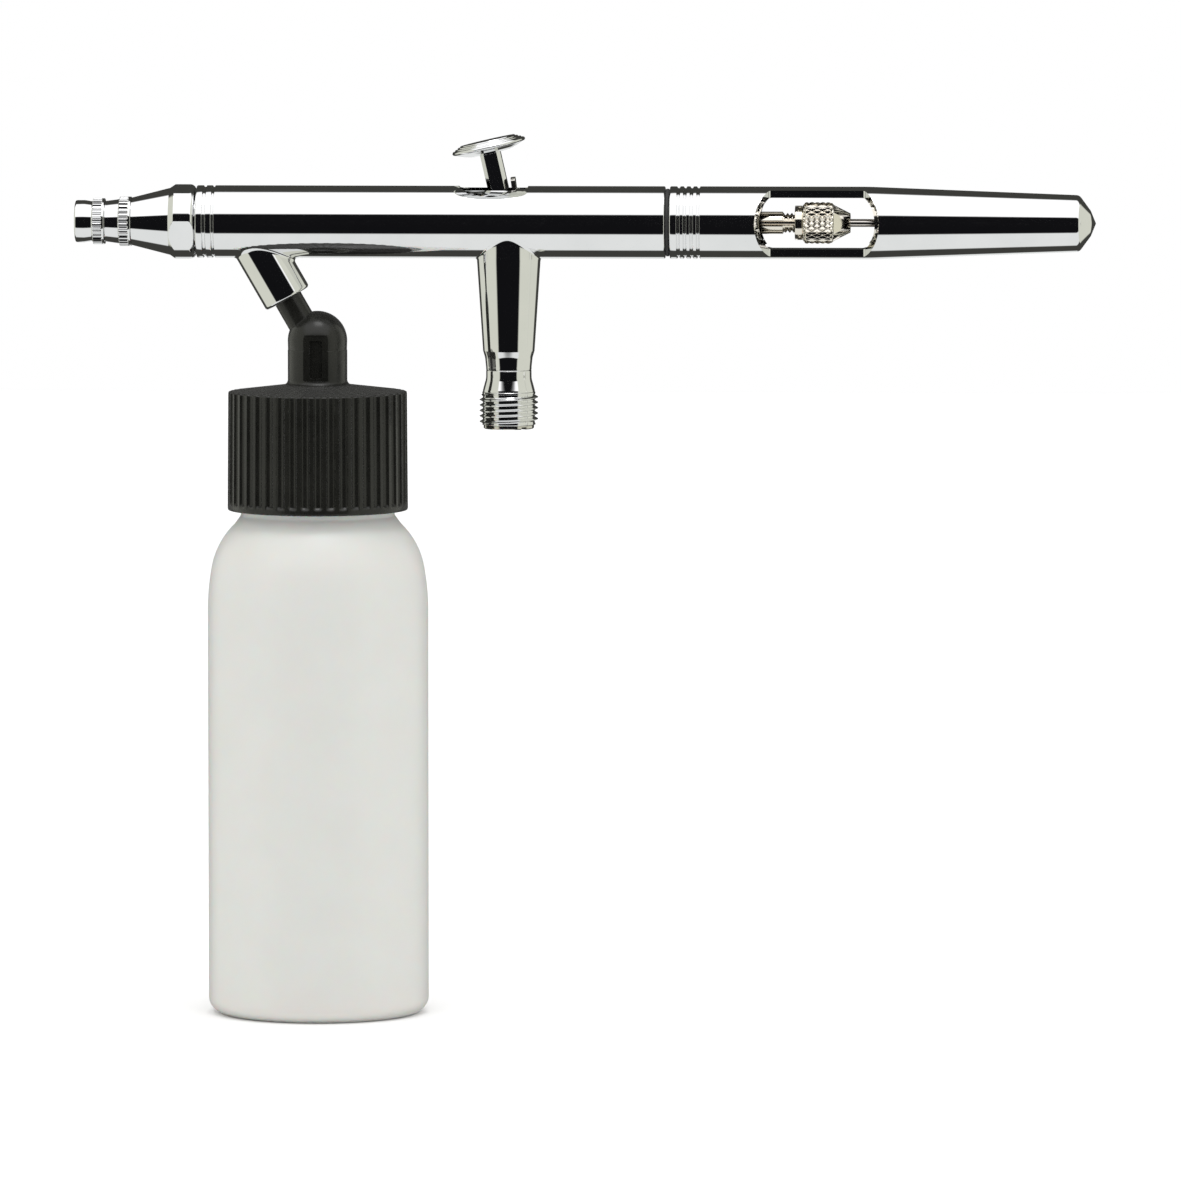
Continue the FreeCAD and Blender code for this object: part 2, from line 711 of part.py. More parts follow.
def make_valve_seal():
    """Soft washer on the valve disc."""
    return turned_z("valve_seal", [(0.57, -27.88), (1.7, -27.88), (1.7, -27.4), (0.57, -27.4)])


def make_valve_spring():
    """Coil that closes the air valve and lifts the trigger."""
    return spring("valve_spring", 0, size("axis_height") - 32.35, 1.3, 0.17, 3.2, 3.5, "+Z")


def make_valve_guide_screw():
    """Hollow slotted screw in the inlet's end, which holds the valve spring."""
    bottom = -size("axis_height")
    body = turned_z("valve_guide_screw", [
        (0.9, bottom - 0.65), (4.05, bottom - 0.65), (4.2, bottom - 0.5), (4.2, bottom - 0.05),
        (2.6, bottom - 0.05), (2.6, bottom + 1.1), (0.9, bottom + 1.1),
    ])
    slot = draw_outline(sketch_on(body, "XY_Plane", bottom - 0.65), rectangle(-5, 5, -0.5, 0.5))
    turn = FreeCAD.Rotation(FreeCAD.Vector(0, 0, 1), -50)
    slot.AttachmentOffset = FreeCAD.Placement(FreeCAD.Vector(0, 0, (bottom - 0.65).number), turn)
    pocket(body, slot, 0.4, backwards=True)
    return body


# ---------------------------------------------------------------- trigger and auxiliary lever
def bevelled_bar(half, thick, bevel):
    """Section of a bar with its four long edges bevelled."""
    half, thick = size(half), size(thick)
    return [
        (-half, bevel - thick), (bevel - half, -thick), (half - bevel, -thick), (half, bevel - thick),
        (half, thick - bevel), (half - bevel, thick), (bevel - half, thick), (-half, thick - bevel),
    ]


def make_trigger():
    """Finger button on a bevelled stem; the shin below has a slot for the needle and a hole for the pin."""
    rim, radius, stem_bottom = size("button_height"), size("button_radius"), size("stem_bottom")
    body = new_body("trigger", x="pivot_x", z=size("axis_height") - "pivot_drop", lean="trigger_lean")
    foot = circle_sketch(sketch_on(body, "XZ_Plane"), 0, 0, 1.3)
    pad(body, foot, 2.0, both_ways=True)
    ankle = draw_outline(sketch_on(body, "XZ_Plane"), rectangle(-1.3, 1.3, 0.3, 1.6))
    pad(body, ankle, 2.0, both_ways=True)
    shin = bevelled_bar("shin_half_width", "shin_half_thick", 0.48)
    pad(body, draw_outline(sketch_on(body, "XY_Plane", 1.3), shin), stem_bottom - 1)
    stem = bevelled_bar("stem_half_width", "stem_half_thick", 0.6)
    pad(body, draw_outline(sketch_on(body, "XY_Plane", stem_bottom), stem), rim - stem_bottom - 1)
    revolve(body, "V_Axis", [
        (0, rim - 1.4), (1.6, rim - 1.25), (3.2, rim - 1.15), (4.4, rim - 0.85), (5.4, rim - 0.47),
        (radius - 0.22, rim - 0.28), (radius, rim, 0.35, 1), (radius - 0.25, rim + 0.3, 0.4, 1),
        (5.65, rim + 0.35), (5.6, rim + 0.52), (5.15, rim + 0.57), (5.1, rim + 0.77),
        (4.7, rim + 0.82), (4.6, rim + 1.0), (0, rim + 1.0),
    ])
    needle_slot = draw_outline(sketch_on(body, "YZ_Plane"), rectangle(-0.8, 0.8, 2.1, 6.7))
    pocket(body, needle_slot, both_ways=True)
    pin_hole = circle_sketch(sketch_on(body, "XZ_Plane"), 0, 0, size("pin_radius") + running_gap)
    pocket(body, pin_hole, both_ways=True)
    return body


def make_aux_lever():
    """Forked plate behind the trigger; a lug on its back pushes the needle's guide."""
    thick = size("lever_thick") * 0.5
    body = new_body("aux_lever", x="lever_pivot_x", z=size("axis_height") - "lever_pivot_drop",
                    lean="lever_lean")
    pivot = circle_sketch(sketch_on(body, "XZ_Plane"), 0, 0, 0.5)
    pad(body, pivot, 6.8, both_ways=True)
    legs = draw_outline(sketch_on(body, "XZ_Plane"), rectangle(-thick, thick, 0, 5.3))
    pad(body, legs, 6.8, both_ways=True)
    tip = [(-1.75, 4.9), (1.75, 4.9), (1.75, 9.3), (1.1, 9.98), (-1.1, 9.98), (-1.75, 9.3)]
    pad(body, draw_outline(sketch_on(body, "YZ_Plane"), tip), "lever_thick", both_ways=True)
    lug = draw_outline(sketch_on(body, "XZ_Plane"), rectangle(0, 1.2, 5.4, 6.3))
    pad(body, lug, 3.0, both_ways=True)
    gap = draw_outline(sketch_on(body, "YZ_Plane"), rectangle(-2.6, 2.6, -1, 4.8))
    pocket(body, gap, both_ways=True)
    return body


# ---------------------------------------------------------------- bottle and its cap
def make_bottle_cap():
    """Ribbed screw cap with a pillar and a slanted spigot, moulded in one."""
    pillar, skirt, top = size("pillar_radius"), size("skirt_radius"), size("skirt_top")
    bottom, dome, feed = size("skirt_bottom"), size("pillar_dome_z"), size("feed_hole")
    blank = turned_z("bottle_cap_blank", [
        (0, "pillar_meet_z"), (feed, "pillar_meet_z"), (feed, top), (size("tube_radius") + running_gap, top),
        (size("tube_radius") + running_gap, top - 4.8), (3, top - 4.8), (3, top - 1.8),
        ("skirt_bore", top - 1.8), ("skirt_bore", bottom), (skirt - 0.2, bottom), (skirt + 0.03, bottom + 0.3),
        (skirt - 0.1, top - 0.5), (skirt - 0.6, top + 0.08, 0.6, 1), (pillar + 1.0, top + 1.36),
        (pillar, top + 2.54, 1.2, -1), (pillar, dome), (0, dome + pillar, pillar, 1),
    ], x="pillar_x")
    rib = circle_sketch(sketch_on(blank, "XY_Plane", bottom + 1.15), skirt + 0.4, 0, 0.8)
    around(blank, pocket(blank, rib, 22, backwards=True), "rib_count")
    # framed panel on the front of the pillar
    for half, low, high, depth in ((2.1, -26.3, -18.7, 0.45), (1.05, -25.9, -19.6, 0.95)):
        panel = draw_outline(sketch_on(blank, "XZ_Plane", pillar - depth),
                             rectangle(-half, half, low, high, 0.3))
        pocket(blank, panel, 2, backwards=True)
    spigot = drill("spigot", size("socket_bore") - running_gap, -9, -24.6, x="socket_x", lean="socket_tilt")
    joined = doc.addObject("Part::Fuse", "cap_with_spigot")
    joined.Base = blank
    joined.Tool = spigot
    feed_way = drill("spigot_feed_drill", feed, -8, -24.6, x="socket_x", lean="socket_tilt")
    return cut("bottle_cap", joined, feed_way)


def make_cap_liner():
    """Soft sealing disc in the cap."""
    top = size("skirt_top") - 1.85
    return turned_z("cap_liner", [(3.2, top - 1.4), (13.5, top - 1.4), (13.5, top), (3.2, top)], x="pillar_x")


def make_siphon_tube():
    """Straight tube from the cap down to the bottle's floor."""
    tube, end = size("tube_radius"), size("tube_end")
    return turned_z("siphon_tube", [
        (0.9, end), (tube, end), (tube, size("skirt_top") - 0.1), (0.9, size("skirt_top") - 0.1),
    ], x="pillar_x")


def make_bottle():
    """Paint bottle: threaded neck, sloping shoulder, straight wall and rounded foot."""
    radius, base, wall = size("bottle_radius"), size("bottle_base"), size("bottle_wall")
    neck, top, thread = size("neck_radius"), size("neck_top"), size("neck_thread_radius")
    inner = radius - wall
    outline = [(neck - wall, top), (neck - wall, -49.8), (13.07, -51.28), (16.54, -57.71, 11.8, -1),
               (inner, -65, 40.8, -1), (inner, base + 5.5), (inner - 3.3, base + 2.2, 3.3, -1),
               (0, base + 2.2), (0, base + 1.1), (10.8, base + 1.1), (12.4, base), (radius - 4, base),
               (radius, base + 4, 4.0, 1), (radius, -65), (17.72, -57.5, 42.0, 1),
               (13.9, -50.41, 13.0, 1), (neck, -49.0)]
    for turn in range(3):
        low = -44.2 + 4.2 * turn
        outline += [(neck, low), (thread, low + 0.4), (thread, low + 1.0), (neck, low + 1.4)]
    outline += [(neck, top)]
    return turned_z("bottle", outline, x="pillar_x")


PIECES = [
    make_barrel, make_air_stem, make_paint_socket, make_head, make_head_seal, make_fluid_nozzle,
    make_nozzle_cap, make_needle_cap, make_needle_packing, make_packing_screw, make_needle,
    make_chucking_guide, make_chuck_nut, make_spring_case, make_needle_spring, make_handle, make_handle_ring,
    make_valve_body, make_valve_piston, make_trigger_pin, make_piston_seal, make_valve_rod,
    make_valve_seal, make_valve_spring, make_valve_guide_screw, make_trigger, make_aux_lever,
    make_bottle_cap, make_cap_liner, make_siphon_tube, make_bottle,
]
pieces = [make() for make in PIECES]
doc.recompute()

for item in doc.Objects:
    if {"Invalid", "Error"} & set(item.State):
        raise RuntimeError(f"{item.Name} failed: {item.State}")
os.makedirs("parts", exist_ok=True)
for piece in pieces:
    shape = piece.Shape
    if shape.isNull() or not shape.isValid() or len(shape.Solids) != 1:
        raise RuntimeError(f"{piece.Label} is not one valid solid ({len(shape.Solids)} solids)")
    shape.exportStep(f"parts/{piece.Label}.step")
    print(f"{piece.Label:20s} {shape.Volume:10.2f} mm3")
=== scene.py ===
import json
import math

import bmesh
import bpy
import numpy as np
from mathutils import Matrix, Vector


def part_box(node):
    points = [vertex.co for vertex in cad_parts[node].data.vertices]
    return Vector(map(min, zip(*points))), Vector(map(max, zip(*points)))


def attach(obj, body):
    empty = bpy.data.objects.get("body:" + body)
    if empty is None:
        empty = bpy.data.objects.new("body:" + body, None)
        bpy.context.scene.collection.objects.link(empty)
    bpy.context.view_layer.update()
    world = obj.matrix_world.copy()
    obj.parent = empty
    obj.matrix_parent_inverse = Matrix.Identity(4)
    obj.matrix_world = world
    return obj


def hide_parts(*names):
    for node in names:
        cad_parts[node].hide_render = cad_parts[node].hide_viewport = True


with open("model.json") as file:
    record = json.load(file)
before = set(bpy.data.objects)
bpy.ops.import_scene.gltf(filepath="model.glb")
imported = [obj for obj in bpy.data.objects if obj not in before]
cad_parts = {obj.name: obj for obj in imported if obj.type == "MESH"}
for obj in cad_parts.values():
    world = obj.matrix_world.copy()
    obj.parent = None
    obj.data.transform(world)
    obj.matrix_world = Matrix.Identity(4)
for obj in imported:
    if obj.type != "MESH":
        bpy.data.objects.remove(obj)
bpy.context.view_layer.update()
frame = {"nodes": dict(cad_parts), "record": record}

# Bottle-fed airbrush.  Lengths in this script are millimetres in the part's own frame, and MM turns
# them into metres.  Turned pieces are (along, radius) outlines about their own axis.
MM = 0.001


# ---------------------------------------------------------------- places taken from the frame
def box_mm(node):
    """A CAD node's lowest and highest corners, in millimetres."""
    low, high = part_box(node)
    return Vector(low) / MM, Vector(high) / MM


def middle(node):
    low, high = box_mm(node)
    return (low + high) / 2


BARREL_LOW, BARREL_HIGH = box_mm("barrel")
AXIS_Z = (BARREL_LOW.z + BARREL_HIGH.z) / 2
BARREL_R = (BARREL_HIGH.z - BARREL_LOW.z) / 2
BARREL_AXIS = (0.0, 0.0, AXIS_Z)
PILLAR_AXIS = (middle("siphon_tube").x, 0.0, AXIS_Z)
SOCKET_AXIS = (-44.2, 0.0, AXIS_Z)
SOCKET_LEAN = math.radians(30)
STEM_SEAM = box_mm("air_stem")[0].z - AXIS_Z

# Angles in degrees from which an edge is shaded sharp, and the distance in metres below which points merge.
SHARP, SHARP_ON_FLATS, SHARP_ON_RIDGES, SHARP_ON_PLASTIC = 32, 9, 40, 50
MERGE = 1e-7


# ---------------------------------------------------------------- outlines
def rounded(outline, corner=0.05, steps=3):
    """Round each corner of a closed outline.  A point's third number, if any, is its own radius."""
    points = [np.array(p[:2], float) for p in outline]
    result = []
    for i, point in enumerate(points):
        radius = outline[i][2] if len(outline[i]) > 2 else corner
        before, after = points[i - 1] - point, points[(i + 1) % len(points)] - point
        len_a, len_b = np.linalg.norm(before), np.linalg.norm(after)
        if radius <= 0 or len_a < 1e-9 or len_b < 1e-9:
            result.append(point)
            continue
        unit_a, unit_b = before / len_a, after / len_b
        half = math.acos(max(-1.0, min(1.0, float(unit_a @ unit_b)))) / 2
        if half < 0.02 or half > math.pi / 2 - 0.01:
            result.append(point)
            continue
        reach = min(radius / math.tan(half), 0.45 * len_a, 0.45 * len_b)
        radius = reach * math.tan(half)
        bisector = (unit_a + unit_b) / np.linalg.norm(unit_a + unit_b)
        centre = point + bisector * (radius / math.sin(half))
        start, end = point + unit_a * reach - centre, point + unit_b * reach - centre
        sweep = math.acos(max(-1.0, min(1.0, float(start @ end) / radius ** 2)))
        count = max(steps, int(sweep / 0.12) if radius > 0.3 else steps)
        for k in range(count + 1):
            t = k / count
            way = (start * math.sin((1 - t) * sweep) + end * math.sin(t * sweep)) / math.sin(sweep)
            result.append(centre + way)
    return result


def divided(points, low, high, step):
    """Add points along the outline's stretches that lie between low and high along the axis."""
    result = []
    for i, point in enumerate(points):
        following = points[(i + 1) % len(points)]
        result.append(point)
        inside = low <= min(point[0], following[0]) and max(point[0], following[0]) <= high
        pieces = int(abs(following[0] - point[0]) / step) if inside else 0
        result += [point + (following - point) * k / pieces for k in range(1, pieces)]
    return result


def circle(radius, count=24):
    """Points around a circle, the first on the first axis."""
    return [(radius * math.cos(a), radius * math.sin(a))
            for a in np.linspace(0, 2 * math.pi, count, endpoint=False)]


def rectangle(left, right, low, high):
    return [(left, low), (right, low), (right, high), (left, high)]


def rounded_rectangle(left, right, low, high, corner, steps=6):
    return rounded([(*point, corner) for point in rectangle(left, right, low, high)], steps=steps)


def bow(left, right, radius, steps=40):
    """Outline of an arc that meets its chord, the X axis, at left and right and bulges towards -Y."""
    half, centre = (right - left) / 2, (left + right) / 2
    rise, sweep = math.sqrt(radius ** 2 - half ** 2), math.asin(half / radius)
    return [(centre + radius * math.sin(a), rise - radius * math.cos(a))
            for a in np.linspace(-sweep, sweep, steps)]


# ---------------------------------------------------------------- mesh building
def finished(name, bm, body=None, material=None, replaced=()):
    """Turn a bmesh into a smooth-shaded piece; with a body, it rides on it and takes slot and material."""
    mesh = bpy.data.meshes.new(name)
    bm.to_mesh(mesh)
    bm.free()
    piece = bpy.data.objects.new(name, mesh)
    bpy.context.collection.objects.link(piece)
    shade(piece)
    if body:
        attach(piece, body)
        mesh.materials.append(material)
    if replaced:
        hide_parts(*replaced)
    return piece


def shade(piece, angle=SHARP):
    """Smooth shading with sharp edges where the surface turns by more than the angle."""
    mesh = piece.data
    mesh.polygons.foreach_set("use_smooth", [True] * len(mesh.polygons))
    mesh.set_sharp_from_angle(angle=math.radians(angle))


def flatten_normals(piece):
    """Let large faces decide the shading normals, so reflections run straight along them."""
    modifier = piece.modifiers.new("weighted", "WEIGHTED_NORMAL")
    modifier.mode = "FACE_AREA"
    modifier.weight = 100
    modifier.keep_sharp = True


def turned(points, axis="X", origin=BARREL_AXIS, lean=0.0, around=192, ripple=None, closed=True):
    """A bmesh turned from (along, radius) points; ripple(along, radius, angle) may change the radius."""
    points = np.array(points)
    angles = np.arange(around) * 2 * math.pi / around
    along = np.repeat(points[:, 0:1], around, 1)
    radius = np.repeat(points[:, 1:2], around, 1)
    if ripple:
        radius = ripple(along, radius, angles[None, :])
    across, up = radius * np.cos(angles), radius * np.sin(angles)
    layers = (along, across, up) if axis == "X" else (across, up, along)
    places = np.stack(layers, -1).reshape(-1, 3)
    turn = Matrix.Rotation(-lean, 4, "Y")
    bm = bmesh.new()
    verts = [bm.verts.new((turn @ Vector(p) + Vector(origin)) * MM) for p in places]
    rows = len(points)
    for i in range(rows if closed else rows - 1):
        below = (i + 1) % rows
        for j in range(around):
            k = (j + 1) % around
            corners = [verts[i * around + j], verts[i * around + k],
                       verts[below * around + k], verts[below * around + j]]
            bm.faces.new(corners)
    bmesh.ops.remove_doubles(bm, verts=bm.verts, dist=MERGE)
    bmesh.ops.recalc_face_normals(bm, faces=bm.faces)
    return bm


def prism(points, low, high, plane="XY", origin=BARREL_AXIS):
    """A bmesh of a flat outline raised from low to high along the plane's normal."""
    bm = bmesh.new()
    order = {"XY": (0, 1, 2), "XZ": (0, 2, 1), "YZ": (1, 2, 0)}[plane]
    rings = []
    for height in (low, high):
        ring = []
        for point in points:
            place = [0.0, 0.0, 0.0]
            place[order[0]], place[order[1]], place[order[2]] = point[0], point[1], height
            ring.append(bm.verts.new((Vector(place) + Vector(origin)) * MM))
        rings.append(ring)
    bm.faces.new(rings[0])
    bm.faces.new(rings[1])
    for i in range(len(points)):
        k = (i + 1) % len(points)
        bm.faces.new((rings[0][i], rings[0][k], rings[1][k], rings[1][i]))
    bmesh.ops.recalc_face_normals(bm, faces=bm.faces)
    return bm


def tool(bm):
    """A temporary object that another piece is cut with."""
    mesh = bpy.data.meshes.new("tool")
    bm.to_mesh(mesh)
    bm.free()
    thing = bpy.data.objects.new("tool", mesh)
    bpy.context.collection.objects.link(thing)
    return thing


def combine(piece, other, operation="DIFFERENCE"):
    """Apply one boolean to a piece and delete the tool."""
    modifier = piece.modifiers.new("cut", "BOOLEAN")
    modifier.operation = operation
    modifier.solver = "EXACT"
    modifier.object = other
    bake_modifiers(piece)
    bpy.data.objects.remove(other)


def bake_modifiers(piece):
    """Replace the piece's mesh by its evaluated mesh and drop its modifiers."""
    graph = bpy.context.evaluated_depsgraph_get()
    result = bpy.data.meshes.new_from_object(piece.evaluated_get(graph))
    piece.modifiers.clear()
    piece.data = result


def soften(piece, width):
    """A small bevel along the piece's sharp edges."""
    modifier = piece.modifiers.new("edges", "BEVEL")
    modifier.width = width * MM
    modifier.segments = 3
    modifier.limit_method = "ANGLE"
    modifier.angle_limit = math.radians(40)
    modifier.use_clamp_overlap = True
    bake_modifiers(piece)
    shade(piece)


# ---------------------------------------------------------------- material building
def color_ramp(tree, source, stops):
    """Colours along a 0..1 source, from (position, colour) stops."""
    node = tree.nodes.new("ShaderNodeValToRGB")
    elements = node.color_ramp.elements
    while len(elements) < len(stops):
        elements.new(0.5)
    for element, (position, color) in zip(elements, stops):
        element.position = position
        element.color = (*color, 1.0)
    tree.links.new(source, node.inputs["Fac"])
    return node.outputs["Color"]


class Recipe:
    """A node material under construction, with short calls for the nodes that it uses."""

    def __init__(self, name, **sockets):
        self.material = bpy.data.materials.new(name)
        self.material.use_nodes = True
        self.tree = self.material.node_tree
        self.shader = self.tree.nodes["Principled BSDF"]
        for socket, value in sockets.items():
            self.shader.inputs[socket.replace("_", " ")].default_value = value
        self.place = self.tree.nodes.new("ShaderNodeTexCoord").outputs["Object"]

    def link(self, source, socket):
        self.tree.links.new(source, self.shader.inputs[socket])

    def noise(self, scale, detail, stretch=None):
        """Fractal noise, scale waves to the metre; stretch scales the pattern along each axis."""
        node = self.tree.nodes.new("ShaderNodeTexNoise")
        node.inputs["Scale"].default_value = scale
        node.inputs["Detail"].default_value = detail
        place = self.place
        if stretch:
            mapping = self.tree.nodes.new("ShaderNodeMapping")
            mapping.inputs["Scale"].default_value = stretch
            self.tree.links.new(self.place, mapping.inputs["Vector"])
            place = mapping.outputs["Vector"]
        self.tree.links.new(place, node.inputs["Vector"])
        return node.outputs["Fac"]

    def between(self, source, low, high):
        """Map the middle of a 0..1 pattern onto low..high."""
        node = self.tree.nodes.new("ShaderNodeMapRange")
        node.inputs["From Min"].default_value = 0.3
        node.inputs["From Max"].default_value = 0.7
        node.inputs["To Min"].default_value = low
        node.inputs["To Max"].default_value = high
        self.tree.links.new(source, node.inputs["Value"])
        return node.outputs["Result"]

    def tone(self, source, low, high):
        """Link the base colour to a pattern that runs softly from low to high."""
        self.link(color_ramp(self.tree, source, [(0.3, low), (0.7, high)]), "Base Color")

    def bump(self, source, strength, distance):
        node = self.tree.nodes.new("ShaderNodeBump")
        node.inputs["Strength"].default_value = strength
        node.inputs["Distance"].default_value = distance
        self.tree.links.new(source, node.inputs["Height"])
        self.link(node.outputs["Normal"], "Normal")


def polished_metal(name, low, high, rough=(0.03, 0.07), scratch=0.02):
    """Plated or turned metal: a slightly uneven tone, soft smudges in the gloss and fine marks."""
    recipe = Recipe(name, Metallic=1.0)
    recipe.tone(recipe.noise(180, 3), low, high)
    recipe.link(recipe.between(recipe.noise(420, 6), *rough), "Roughness")
    recipe.bump(recipe.noise(2600, 3, stretch=(0.15, 1.0, 1.0)), scratch, 0.02 * MM)
    return recipe.material


def moulded_plastic(name, low, high, rough=(0.35, 0.5), grain=0.2, size=2200, **sockets):
    """Moulded plastic: slight tone change and a fine grain."""
    recipe = Recipe(name, **sockets)
    recipe.tone(recipe.noise(150, 4), low, high)
    recipe.link(recipe.between(recipe.noise(600, 5), *rough), "Roughness")
    recipe.bump(recipe.noise(size, 4), grain, 0.04 * MM)
    return recipe.material


CHROME = polished_metal("chrome_plate", (0.84, 0.845, 0.85), (0.88, 0.88, 0.885), (0.02, 0.05), 0.015)
NICKEL = polished_metal("nickel_plate", (0.66, 0.64, 0.60), (0.74, 0.72, 0.68), (0.08, 0.16), 0.05)
WARM = polished_metal("warm_nickel", (0.86, 0.81, 0.72), (0.92, 0.87, 0.78), (0.06, 0.12), 0.04)
BRASS = polished_metal("brass_turned", (0.70, 0.52, 0.24), (0.80, 0.62, 0.32), (0.15, 0.28), 0.1)
NEEDLE_STEEL = polished_metal("needle_steel", (0.64, 0.60, 0.56), (0.74, 0.70, 0.66), (0.06, 0.12), 0.04)
SPRING_STEEL = polished_metal("spring_steel", (0.38, 0.38, 0.39), (0.5, 0.5, 0.5), (0.2, 0.3), 0.1)
PTFE = moulded_plastic("white_ptfe", (0.86, 0.86, 0.84), (0.92, 0.92, 0.90))
RUBBER = moulded_plastic("black_rubber", (0.02, 0.02, 0.02), (0.035, 0.035, 0.035), (0.6, 0.75))
BLACK = moulded_plastic("black_plastic", (0.006, 0.006, 0.0045), (0.011, 0.011, 0.0085), (0.22, 0.32), 0.1,
                        3200, Sheen_Weight=0.08, Sheen_Roughness=0.5, Specular_IOR_Level=0.42)
LINER = moulded_plastic("liner_foam", (0.80, 0.80, 0.78), (0.88, 0.88, 0.86), (0.6, 0.8), 0.4)
TUBE = moulded_plastic("tube_plastic", (0.80, 0.82, 0.80), (0.88, 0.90, 0.88), (0.25, 0.4), 0.1)
BOTTLE = moulded_plastic("bottle_plastic", (0.675, 0.664, 0.632), (0.69, 0.679, 0.647), (0.30, 0.38), 0.06,
                         1500, Subsurface_Weight=0.3, Subsurface_Scale=0.004)
SLOT_MATERIALS = {
    "chrome_plate": CHROME, "nickel_plate": NICKEL, "warm_nickel": WARM, "brass_turned": BRASS,
    "needle_steel": NEEDLE_STEEL, "spring_steel": SPRING_STEEL, "white_ptfe": PTFE, "black_rubber": RUBBER,
    "black_plastic": BLACK, "liner_foam": LINER, "tube_plastic": TUBE, "bottle_plastic": BOTTLE,
}
for part in frame["record"]["subparts"]:
    node = frame["nodes"][part["node"]]
    node.data.materials.clear()
    node.data.materials.append(SLOT_MATERIALS[part["material_slot"]])


# ---------------------------------------------------------------- surface patterns
def fraction(value):
    return value - np.floor(value)


def vee(phase, flat_share):
    """1 at each whole phase, falling to 0; the share around each half phase that stays 0 is flat."""
    distance = np.abs(fraction(phase) - 0.5) * 2
    return np.clip((distance - flat_share) / (1 - flat_share), 0, 1)


def window(along, low, high, fade):
    """1 between low and high, fading to 0 outside."""
    return np.clip((along - low) / fade, 0, 1) * np.clip((high - along) / fade, 0, 1)


def straight_teeth(count, depth, low, high):
    """Ripple for a ring of straight teeth along the axis between low and high."""
    def ripple(along, radius, angle):
        outside = np.where(radius >= radius.max() - 0.35, 1.0, 0.0)
        teeth = vee(angle * count / (2 * math.pi), 0.42)
        return radius - depth * teeth * window(along, low, high, 0.08) * outside
    return ripple


def screw_thread(pitch, depth, low, high, surface, fade):
    """Ripple for a helical thread cut into the surface radius between low and high."""
    def ripple(along, radius, angle):
        groove = 1 - vee(along / pitch - angle / (2 * math.pi), 0.12)
        cut = np.clip((groove - 0.15) * 1.25, 0, 1)
        near = np.where(np.abs(radius - surface) < 0.02, 1.0, 0.0)
        return radius - depth * cut * window(along, low, high, fade) * near
    return ripple


def helical_sleeve(low, high, pitch, bore, root, crest, origin, around=128):
    """An upright sleeve whose outside is one sharp-crested helical thread that runs out at both ends."""
    # one turn's section: share of the pitch, share of the crest's height
    shape = [(0.0, 0.0), (0.08, 0.0), (0.38, 0.86), (0.44, 1.0), (0.5, 1.0), (0.56, 0.86), (0.86, 0.0)]
    per_turn = len(shape)
    turns = int((high - low) / pitch) + 3
    bm = bmesh.new()
    columns = []
    for j in range(around):
        share = j / around
        column = []
        for i in range(per_turn * turns):
            phase, height = shape[i % per_turn]
            along = low + pitch * (i // per_turn + phase + share - 1.5)
            clamped = min(max(along, low), high)
            run_out = float(window(clamped, low, high, 0.3))
            column.append((clamped, root + (crest - root) * height * run_out))
        columns.append(column)

    def place(along, radius, j):
        angle = 2 * math.pi * j / around
        return Vector((radius * math.cos(angle), radius * math.sin(angle), along)) + Vector(origin)

    verts = [[bm.verts.new(place(along, radius, j) * MM) for along, radius in column]
             for j, column in enumerate(columns)]
    inner = [[bm.verts.new(place(along, bore, j) * MM) for along in (low, high)] for j in range(around)]
    rim = [[bm.verts.new(place(along, root, j) * MM) for along in (low, high)] for j in range(around)]
    rows = per_turn * turns
    for j in range(around):
        k = (j + 1) % around
        shift = 0 if k else per_turn
        for i in range(rows - 1 - shift):
            bm.faces.new((verts[j][i], verts[k][i + shift], verts[k][i + 1 + shift], verts[j][i + 1]))
        bm.faces.new((rim[j][0], rim[k][0], inner[k][0], inner[j][0]))
        bm.faces.new((rim[j][1], rim[k][1], inner[k][1], inner[j][1]))
        bm.faces.new((inner[j][0], inner[k][0], inner[k][1], inner[j][1]))
    bmesh.ops.remove_doubles(bm, verts=bm.verts, dist=MERGE)
    bmesh.ops.dissolve_degenerate(bm, edges=bm.edges, dist=1e-8)
    bmesh.ops.recalc_face_normals(bm, faces=bm.faces)
    return bm


# ---------------------------------------------------------------- barrel
REAR_X = BARREL_HIGH.x - 4.95
SLOT_X, SLOT_HALF_WIDTH, SLOT_CORNER = (-8.2, 3.25), 2.05, 0.6
RELIEF_X, RELIEF_RADIUS = (-9.2, 3.1), 6.63
STEM_R, SOCKET_R, STEM_BORE = 5.3, 4.08, 2.95


